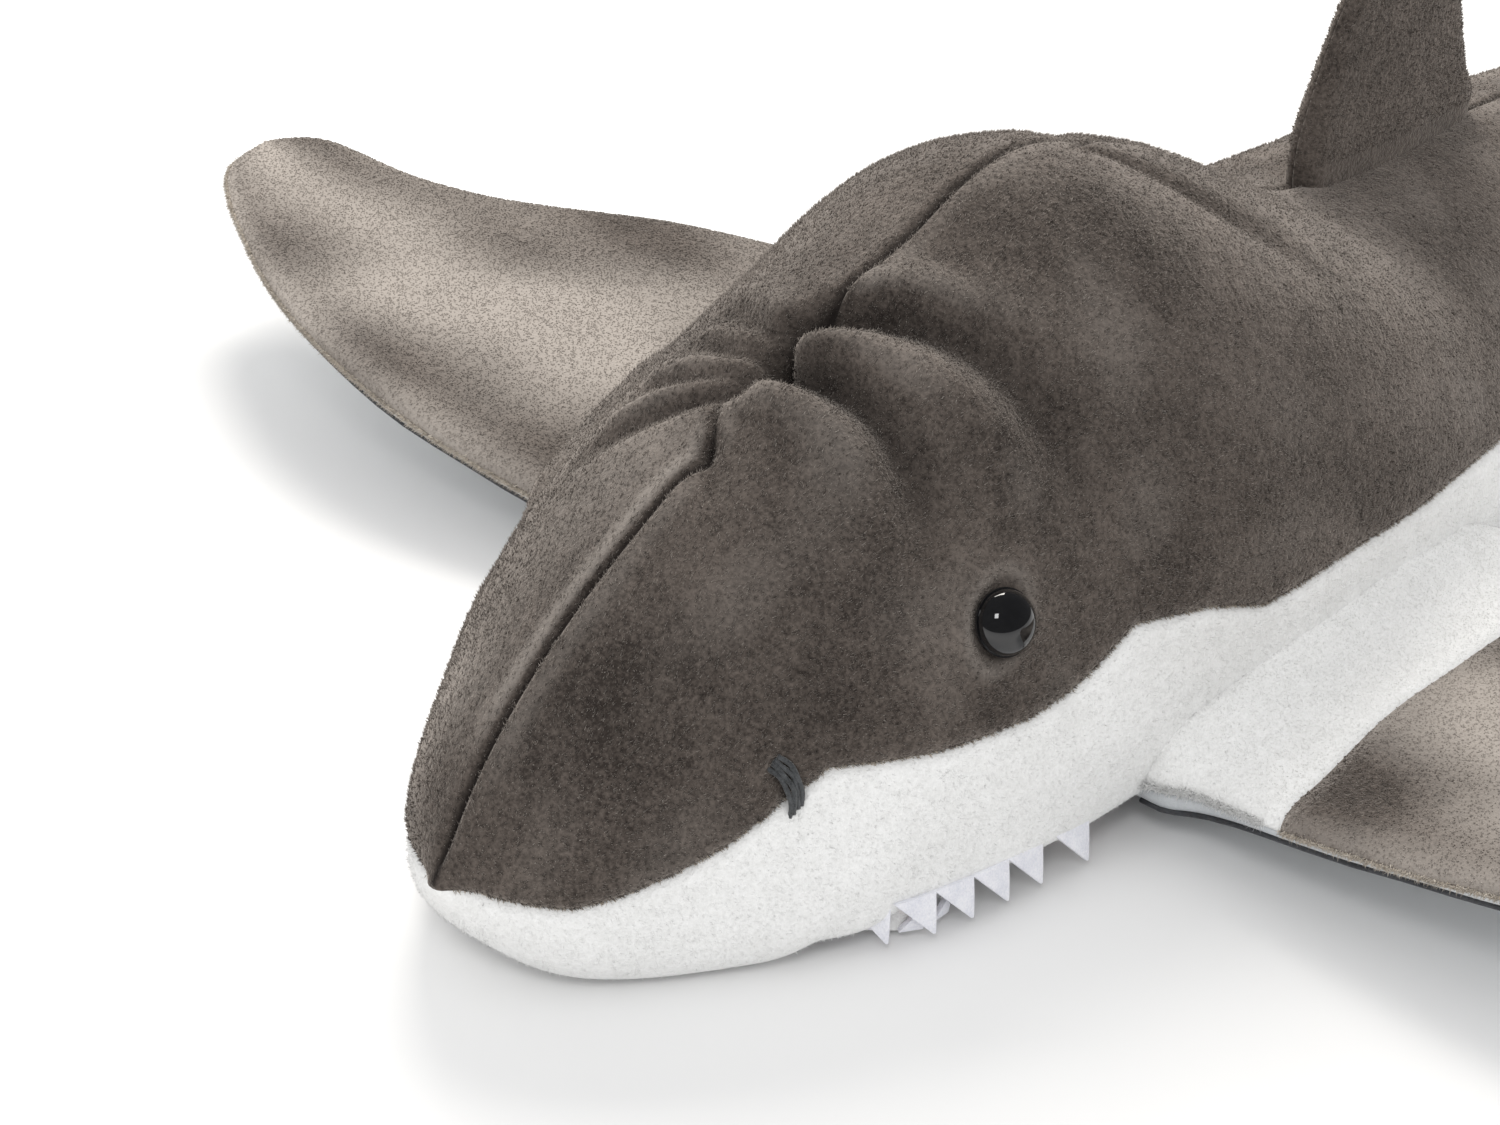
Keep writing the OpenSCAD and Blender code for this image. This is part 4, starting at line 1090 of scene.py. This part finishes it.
dorsal = {"height": 112, "chord": 108, "half": 8.0, "inside": 22, "rows": 60, "columns": 41,
          "hairs": 16000,
          "front": [(0, 0), (0.18, 0.05), (0.40, 0.16), (0.62, 0.33), (0.82, 0.58), (0.95, 0.82),
                    (1.0, 0.97)],
          "rear": [(0, 1), (0.12, 0.93), (0.30, 0.87), (0.50, 0.85), (0.72, 0.90), (0.90, 0.99),
                   (1.0, 1.0)]}


def finFromShares(v, shares, inset):
    # given shares of height and chord, made lengths in mm and carried on into the body
    points = [(x * v["height"], y * v["chord"]) for x, y in shares]
    return [(-v["inside"], points[0][1] + inset)] + points


def uprightPlace(spot, pitch, up):
    lean = math.radians(pitch)

    def place(x, y, z):
        back = y * math.cos(lean) - up * x * math.sin(lean)
        high = up * x * math.cos(lean) + y * math.sin(lean)
        return np.stack([z * mm, spot[1] + back * mm, spot[2] + high * mm], axis=-1)
    return place


def addUprightFin(name, v, place, face):
    front, rear = finFromShares(v, v["front"], 3), finFromShares(v, v["rear"], -3)

    def half(x, u, chord):
        share = np.clip(x / v["height"], 0, 1)
        thick = v["half"] * (1 - 0.62 * share)
        return pillow(u, chord, thick, np.minimum(2 + thick, chord * 0.5 + 0.01))
    outer, inner = finGrids(front, rear, half, place, face, v["rows"], v["columns"], 0.8, 21)
    piece = closedForm(name, outer, inner)
    piece.data.materials.append(greyPlush)
    return piece, outer


def facing(outer):
    # which way the grid's own normals point across the fin: 1 to the left side, -1 to the right
    return np.sign(gridNormals(outer)[..., 0].mean())


def coatFin(name, outers, count):
    # pile on both faces of an upright fin, in one piece
    parts = []
    for face, outer in outers:
        top = outer if face * facing(outer) > 0 else outer[:, ::-1]
        parts.append(coat(name, top, np.zeros(top.shape[:2]), np.ones(top.shape[:2]), count // 2, 1.5, 0.5,
                          0.5, 0.42, greyPlush, 301 + face))
    piece = joined(parts, name)
    return piece


def foldDorsal(piece):
    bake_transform(piece)


def addDorsal(face, name):
    hinge = joint("dorsal_flop")
    pitch = math.degrees(math.atan2(hinge["axis"][2], hinge["axis"][1]))
    piece, outer = addUprightFin(f"dorsalFin.{name}", dorsal, uprightPlace(hinge["pos_m"], pitch, 1), face)
    foldDorsal(piece)
    # the node's own side is read from its box, because the fin lies on both sides of the middle
    panels = ("dorsal_panel_left", "dorsal_panel_right")
    nodes = [n for n in panels if (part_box(n)[1].x > 4 * mm) == (face > 0)]
    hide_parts(*nodes, *(["dorsal_filling"] if face > 0 else []))
    return face, outer[4:]


foldDorsal(coatFin("dorsalPile", [addDorsal(1, "left"), addDorsal(-1, "right")], dorsal["hairs"]))

smallFin = {"height": 22, "chord": 34, "half": 4.0, "inside": 7, "rows": 26, "columns": 25,
            "front": [(0, 0), (0.3, 0.16), (0.6, 0.42), (0.9, 0.85), (1.0, 1.0)],
            "rear": [(0, 1), (0.3, 0.92), (0.6, 0.93), (0.9, 1.03), (1.0, 1.05)]}
for name, node, up in (("secondDorsalFin", "second_dorsal_fin", 1), ("analFin", "anal_fin", -1)):
    low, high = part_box(node)
    spot = (0, low.y, low.z + 3 * mm) if up > 0 else (0, low.y, high.z - 3 * mm)
    piece = joined([addUprightFin(name, smallFin, uprightPlace(spot, 0, up), face)[0] for face in (1, -1)],
                   name)
    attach(piece, "tail")
    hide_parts(node)

pelvic = {"span": 44, "chord": 48, "half": 4.2, "inside": 14, "rows": 34, "columns": 27,
          "front": [(0, 0), (0.35, 0.06), (0.65, 0.22), (0.9, 0.55), (1.0, 0.82)],
          "rear": [(0, 1), (0.3, 1.0), (0.6, 1.0), (0.9, 0.98), (1.0, 0.9)]}


def addPelvic(side, name):
    spot = joint("left_pelvic_flap")["pos_m"]
    front = [(-pelvic["inside"], 4)] + [(x * pelvic["span"], y * pelvic["chord"]) for x, y in pelvic["front"]]
    rear = [(-pelvic["inside"], 44)] + [(x * pelvic["span"], y * pelvic["chord"]) for x, y in pelvic["rear"]]

    def place(x, y, z):
        return np.stack([side * (spot[0] + x * mm), spot[1] + y * mm, spot[2] + z * mm], axis=-1)

    def half(x, u, chord):
        return pillow(u, chord, pelvic["half"], np.minimum(5, chord * 0.5 + 0.01))
    for face, title, mat, slot in ((1, "Top", greyPlush, "grey_plush"),
                                   (-1, "Underside", whitePlush, "white_plush")):
        outer, inner = finGrids(front, rear, half, place, face, pelvic["rows"], pelvic["columns"], 0.5, 31)
        piece = closedForm(f"pelvic{title}.{name}", outer, inner)
        piece.data.materials.append(mat)
        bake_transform(piece)
        if face > 0:
            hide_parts(f"pelvic_fin_{name}")


for side, name in ((1, "left"), (-1, "right")):
    addPelvic(side, name)

# the tail fin's front and rear edges as station behind its root and height, in mm
tailFin = {"half": 9.5, "rows": 120, "columns": 45, "hairs": 24000, "foldIn": 14, "foldOut": 16,
           "front": [(103, 8), (82, 13), (52, 27), (24, 44), (2, 58), (-16, 66), (-17, 80), (-16, 94),
                     (2, 101), (26, 116), (56, 137), (90, 165), (125, 200), (158, 247)],
           "rear": [(106, 9), (98, 24), (92, 40), (88, 54), (86, 64), (85, 72), (85, 80), (86, 88),
                    (88, 98), (93, 112), (102, 134), (118, 166), (138, 204), (159, 249)]}


def foldTailFin(piece):
    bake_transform(piece)


def addTailFin(face, name):
    root = joint("tail_fin_swing")["pos_m"]

    def place(x, y, z):
        return np.stack([z * mm, root[1] + x * mm, y * mm], axis=-1)

    def half(x, u, chord):
        thick = tailFin["half"] * (0.42 + 0.58 * np.clip(1 - (x - 6) / 110, 0, 1))
        return pillow(u, chord, thick, np.minimum(3 + thick, chord * 0.5 + 0.01))
    v = tailFin
    outer, inner = finGrids(v["front"], v["rear"], half, place, face, v["rows"], v["columns"], 1.0, 41)
    piece = closedForm(f"tailFin.{name}", outer, inner)
    piece.data.materials.append(greyPlush)
    foldTailFin(piece)
    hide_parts(f"caudal_panel_{name}", *(["caudal_filling"] if face > 0 else []))
    return face, outer


foldTailFin(coatFin("tailFinPile", [addTailFin(1, "left"), addTailFin(-1, "right")],
                    tailFin["hairs"]))
print("fins formed")


# Eyes

eye = {"across": 18.5, "dome": 6.6, "rim": 0.9, "sink": 2.6, "farLower": 3, "farSink": 1.8}


def eyeFrame(node):
    # the eye's middle and outward direction, from the CAD eye: its stem points into the head
    points = nodePoints(node)
    middle = points.mean(axis=0)
    side = 1 if node.endswith("left") else -1

    def reach(d):
        return np.linalg.norm((points - middle) @ d, ord=np.inf) if d[0] * side > 0 else -1
    best = max((d * k for d in np.linalg.svd(points - middle)[2] for k in (-1, 1)), key=reach)
    radii = np.linalg.norm((points - middle) - np.outer((points - middle) @ best, best), axis=1)
    return Vector(points[radii > radii.max() * 0.9].mean(axis=0)), Vector(best).normalized()


def addEye(node, name, lower, sink):
    # a half dome with a rim, and a stem drawn out of its flat back
    v = eye
    centre, out = eyeFrame(node)
    centre += (out * out.z - Vector((0, 0, 1))).normalized() * lower * mm
    clearSelection()
    bpy.ops.mesh.primitive_uv_sphere_add(segments=64, ring_count=40, radius=v["across"] / 2 * mm)
    obj = bpy.context.active_object
    obj.name = obj.data.name = f"eye.{name}"
    bpy.ops.object.mode_set(mode="EDIT")
    bpy.ops.mesh.select_all(action="SELECT")
    bpy.ops.mesh.bisect(plane_co=(0, 0, 0), plane_no=(0, 0, 1), use_fill=True, clear_inner=True)
    bpy.ops.mesh.select_all(action="SELECT")
    bpy.ops.transform.resize(value=(1, 1, v["dome"] / (v["across"] / 2)))
    bpy.ops.mesh.select_all(action="DESELECT")
    bpy.ops.object.mode_set(mode="OBJECT")
    for face in obj.data.polygons:
        face.select = face.normal.z < -0.9
    bpy.ops.object.mode_set(mode="EDIT")
    bpy.ops.mesh.select_mode(type="FACE")
    for grow, drop in ((1.045, 0.0), (1.0, -v["rim"]), (0.96, -0.4), (0.3, 0.0), (1.0, -9.0)):
        bpy.ops.mesh.extrude_region_move(TRANSFORM_OT_translate={"value": (0, 0, drop * mm)})
        bpy.ops.transform.resize(value=(grow, grow, 1), center_override=(0, 0, 0))
    bpy.ops.object.mode_set(mode="OBJECT")
    bpy.ops.object.shade_smooth_by_angle(angle=math.radians(35))
    obj.rotation_mode = "QUATERNION"
    obj.rotation_quaternion = out.to_track_quat("Z", "Y")
    obj.location = centre + out * (v["rim"] - sink) * mm
    bpy.ops.object.transform_apply(location=True, rotation=True, scale=True)
    obj.data.materials.append(eyePlastic)
    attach(obj, "trunk")
    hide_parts(node)


addEye("eye_left", "left", 0, eye["sink"])
addEye("eye_right", "right", eye["farLower"], eye["sink"] + eye["farSink"])

# Nostril threads

nostril = {"strands": 4, "thread": 0.72, "pitch": 1.1, "bow": 1.3, "sway": 0.18}


def skinPlace(s, t):
    # point of the shark's skin at a station and a signed distance round it from the back's seam, in mm
    arc, row = skinRow(s * mm)
    x = np.interp(abs(t) * mm, arc, row[:, 0]) * (1 if t >= 0 else -1)
    return np.array([x, noseY + s * mm, np.interp(abs(t) * mm, arc, row[:, 1])])


def skinFrame(s, t):
    # a place on the skin and the way out of it
    along = skinPlace(s + 2, t) - skinPlace(s - 2, t)
    across = skinPlace(s, t + 2) - skinPlace(s, t - 2)
    out = np.cross(across, along)
    return skinPlace(s, t), out / np.linalg.norm(out)


def addNostril(side, name):
    v = nostril
    strands = []
    (s0, t0), (s1, t1) = nostrilPath
    for i in range(v["strands"]):
        shift = (i - (v["strands"] - 1) / 2) * v["pitch"]
        path = []
        for k in np.linspace(-0.08, 1.08, 22):
            bow, sway = math.sin(math.pi * k), math.sin(9 * k + 2 * i)
            s = s0 + (s1 - s0) * k + shift + v["bow"] * bow + v["sway"] * sway
            centre, out = skinFrame(s, side * (t0 + (t1 - t0) * k))
            lift = 1.5 * math.sin(math.pi * min(1, max(0, k))) ** 0.5 - 1.6 + 0.25 * (i % 2)
            path.append(centre + out * lift * mm)
        strands.append(tube(f"nostrilStrand.{i}", path, v["thread"] * mm))
    piece = joined(strands, f"nostrilStitches.{name}")
    piece.data.materials.append(threadGrey)
    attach(piece, "trunk")
    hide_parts(f"nostril_stitches_{name}")


addNostril(1, "left")
addNostril(-1, "right")
print("eyes and nostrils ready")

# Mouth

tooth = {"thick": 1.7, "soften": 0.45, "rise": 3.0, "push": 1.2, "broad": 13.4, "hook": 0.44, "bow": 4,
         "lowerShare": 1.04, "mouthMiddle": 150}


def feltTooth():
    # one felt tooth, point down, its root on the X axis: width 1, height 1, to be sized for its place
    clearSelection()
    bpy.ops.mesh.primitive_plane_add(size=1, location=(0, 0, 0))
    obj = bpy.context.active_object
    obj.name = obj.data.name = "feltTooth"
    bpy.ops.object.mode_set(mode="EDIT")
    bpy.ops.mesh.select_all(action="SELECT")
    bpy.ops.mesh.subdivide(number_cuts=5)
    bpy.ops.object.mode_set(mode="OBJECT")
    for vertex in obj.data.vertices:
        across, down = vertex.co.x + 0.5, 0.5 - vertex.co.y
        width = 1 - 0.94 * down
        vertex.co = ((across - 0.5) * width + tooth["hook"] * down, 0.05 * math.sin(math.pi * down), -down)
    return obj


jawTuck = {"share": 0.17, "from": 108, "to": 158}


def tuckJaw(piece):
    # the soft jaw is drawn in under the lip towards the corners of the mouth
    for vertex in piece.data.vertices:
        deep = float(smoothStep((vertex.co.y - noseY) / mm, jawTuck["from"], jawTuck["to"]))
        vertex.co.x *= 1 - jawTuck["share"] * deep


def cornersOf(points):
    # upper and lower ends of one tooth of the CAD row
    high = points[points[:, 2] > points[:, 2].max() - 0.5 * mm]
    low = points[points[:, 2] < points[:, 2].min() + 0.5 * mm]
    return high, low


def islands(node):
    # separate solids of a CAD node, by shared places
    points = nodePoints(node)
    keys = {}
    group = list(range(len(points)))

    def root(i):
        while group[i] != i:
            group[i] = group[group[i]]
            i = group[i]
        return i
    for i, p in enumerate(points):
        key = tuple(np.round(p / (0.02 * mm)).astype(int))
        if key in keys:
            group[root(i)] = root(keys[key])
        keys[key] = i
    for face in frame["nodes"][node].data.polygons:
        first = root(face.vertices[0])
        for k in face.vertices[1:]:
            group[root(k)] = first
    found = {}
    for i in range(len(points)):
        found.setdefault(root(i), []).append(i)
    return [points[rows] for rows in found.values()]


def addTeeth(node, name, body, upper):
    v = tooth
    model = feltTooth()
    copies = []
    for points in islands(node):
        high, low = cornersOf(points)
        rootEnd, tip = (high, low.mean(axis=0)) if upper else (low, high.mean(axis=0))
        base = rootEnd.mean(axis=0)
        flat = rootEnd[:, :2] - base[:2]
        run = np.linalg.svd(flat)[2][0]
        if run @ (tip[:2] - base[:2]) < 0:
            run = -run
        width = v["broad"] * mm if upper else np.ptp(flat @ run) * v["lowerShare"]
        height = abs(base[2] - tip[2])
        out = np.array([run[1], -run[0]])
        if out @ (base[:2] - np.array([0, noseY + v["mouthMiddle"] * mm])) < 0:
            out = -out
        grow = v["rise"] * mm
        copy = model.copy()
        copy.data = model.data.copy()
        bpy.context.collection.objects.link(copy)
        direction = -1 if upper else 1
        for vertex in copy.data.vertices:
            a, bow, down = vertex.co.x, vertex.co.y, -vertex.co.z
            spot = base[:2] + run * a * width + out * (bow * v["bow"] * mm + v["push"] * mm * down)
            vertex.co = (spot[0], spot[1], base[2] + direction * (down * (height + grow) - grow))
        copies.append(copy)
    bpy.data.objects.remove(model)
    piece = joined(copies, name)
    for kind, values in (("SOLIDIFY", {"thickness": v["thick"] * mm, "offset": 0}),
                         ("BEVEL", {"width": v["soften"] * mm, "segments": 2})):
        mod = piece.modifiers.new(kind.title(), kind)
        for key, value in values.items():
            setattr(mod, key, value)
        bpy.ops.object.modifier_apply(modifier=mod.name)
    bpy.ops.object.mode_set(mode="EDIT")
    bpy.ops.mesh.select_all(action="SELECT")
    bpy.ops.mesh.normals_make_consistent(inside=False)
    bpy.ops.object.mode_set(mode="OBJECT")
    bpy.ops.object.shade_smooth_by_angle(angle=math.radians(40))
    if body == "jaw":
        tuckJaw(piece)
    piece.data.materials.append(feltWhite)
    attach(piece, body)
    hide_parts(node)


addTeeth("upper_teeth_left", "upperTeeth.left", "trunk", True)
addTeeth("upper_teeth_right", "upperTeeth.right", "trunk", True)
addTeeth("lower_teeth", "lowerTeeth", "jaw", False)
print("teeth ready")

jaw = {"bottom": 1.6, "top": 11.6, "round": 4.2, "dish": 2.0, "hinge": 14, "lining": 1.2, "liningProud": 2.2}


def halfWidthOf(node):
    # half width of a node's plan against Y, from its CAD outline
    points = nodePoints(node)
    order = np.argsort(points[:, 1])
    y = points[order, 1]
    x = np.abs(points[order, 0])
    steps = np.linspace(y[0], y[-1], 60)
    widths = [x[np.abs(y - step) < 2.2 * mm].max(initial=0) for step in steps]
    return steps, np.array(widths)


def planRows(node, rearMore, rows):
    steps, widths = halfWidthOf(node)
    share = 1 - np.cos(np.linspace(0, 1, rows) * math.pi / 2)
    y = steps[0] + (steps[-1] + rearMore - steps[0]) * share
    w = np.interp(y, steps, widths)
    w[0] = 0.2 * mm
    return y, blurRows(w[:, None], 0.8, 0)[:, 0].clip(0.2 * mm)


def liningSheet(name, node, height, dish, rearMore, body, proud=0.0):
    # soft pink lining: a thin sheet with a few shallow puckers, drawn over the rim of what it lines
    v = jaw
    y, w = planRows(node, rearMore, 60)
    w = w + proud * smoothStep(np.arange(60), 0, 3)
    y = y - proud * (1 - smoothStep(np.arange(60), 0, 20))
    share = np.sin(np.linspace(-1, 1, 61) * math.pi / 2)
    x = w[:, None] * share[None, :]
    yy = np.repeat(y[:, None], 61, axis=1)
    z = height - dish * mm * (1 - share[None, :] ** 2) * smoothStep(w[:, None] / mm, 0, 40)
    z = z + 0.5 * mm * lumps(x / mm, yy / mm, 26, 61) * (1 - share[None, :] ** 4)
    top = np.stack([x, yy, z * np.ones_like(x)], axis=-1)
    under = top - np.array([0, 0, v["lining"] * mm])
    piece = closedForm(name, top, under)
    piece.data.materials.append(pinkLining)
    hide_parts(node)
    if body:
        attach(piece, body)
    return piece


def addJaw():
    v = jaw
    y, w = planRows("jaw_panel", v["hinge"] * mm, 60)
    turn = np.radians(np.linspace(75, -90, 26))
    low, high = v["bottom"] * mm, v["top"] * mm
    middle, up = (low + high) / 2, (high - low) / 2
    rounding = np.minimum(v["round"] * mm, w * 0.5)[:, None]
    halfX = w[:, None] - rounding * (1 - np.cos(turn)[None, :] ** 0.6)
    halfZ = middle + up * np.sign(np.sin(turn)) * np.abs(np.sin(turn)) ** 0.7
    floorX = w[:, None] * np.linspace(0.9, 0, 14)[None, :]
    x = np.concatenate([halfX, np.minimum(floorX, halfX[:, -1:])], axis=1)
    z = np.concatenate([np.repeat(halfZ[None, :], len(y), axis=0), np.full((len(y), 14), low)], axis=1)
    x = np.concatenate([x, -x[:, ::-1][:, 1:]], axis=1)
    z = np.concatenate([z, z[:, ::-1][:, 1:]], axis=1)
    z = low + (z - low) * smoothStep(w[:, None] / mm, 0, 12)
    outer = np.stack([x, np.repeat(y[:, None], x.shape[1], axis=1), z], axis=-1)
    share = np.linspace(0, 1, 20)[None, :, None]
    core = outer[:, :1] + (outer[:, -1:] - outer[:, :1]) * share
    core[..., 2] -= 2.2 * mm * np.sin(share[..., 0] * math.pi) + 0.5 * mm
    pad = closedForm("jawPad", outer, core)
    pad.data.materials.append(whitePlush)
    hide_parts("jaw_panel", "jaw_filling")
    lining = liningSheet("jawLining", "jaw_lining", high + 0.5 * mm, v["dish"], v["hinge"] * mm, None,
                         v["liningProud"] * mm)
    for piece in (pad, lining):
        tuckJaw(piece)
        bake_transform(piece)


addJaw()
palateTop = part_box("palate_lining")[1].z
liningSheet("palateLining", "palate_lining", palateTop, 0.3, 0.0, "trunk")
print("jaw and linings ready")

# Label


def addLabel():
    # a blank folded satin loop, sewn into the side seam
    low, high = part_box("care_label")
    rootX, tipX = high.x, low.x
    rows, columns = 24, 19
    run = np.linspace(0, 1, rows)[:, None] * np.ones((1, columns))
    across = np.linspace(low.y, high.y, columns)[None, :] * np.ones((rows, 1))
    x = rootX + 4 * mm + (tipX - rootX - 4 * mm) * run
    z = high.z + 1 * mm + (low.z - high.z - 1 * mm) * run ** 1.3
    curl = 1.2 * mm * np.sin(run * 5 + across / (9 * mm)) * run
    top = np.stack([x, across, z + curl], axis=-1)
    piece = closedForm("blankLabel", top, top - np.array([0, 0, 0.7 * mm]))
    piece.data.materials.append(labelSatin)
    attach(piece, "trunk")
    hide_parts("care_label")


addLabel()

# Parts that stay as they are inside


def finishNode(node, material):
    slots = frame["nodes"][node].material_slots
    if slots:
        for slot in slots:
            slot.material = material
    else:
        frame["nodes"][node].data.materials.append(material)


for node, material in (("eye_washer_left", washerPlastic), ("eye_washer_right", washerPlastic),
                       ("pellet_pouch", pouchCloth)):
    finishNode(node, material)

low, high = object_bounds()
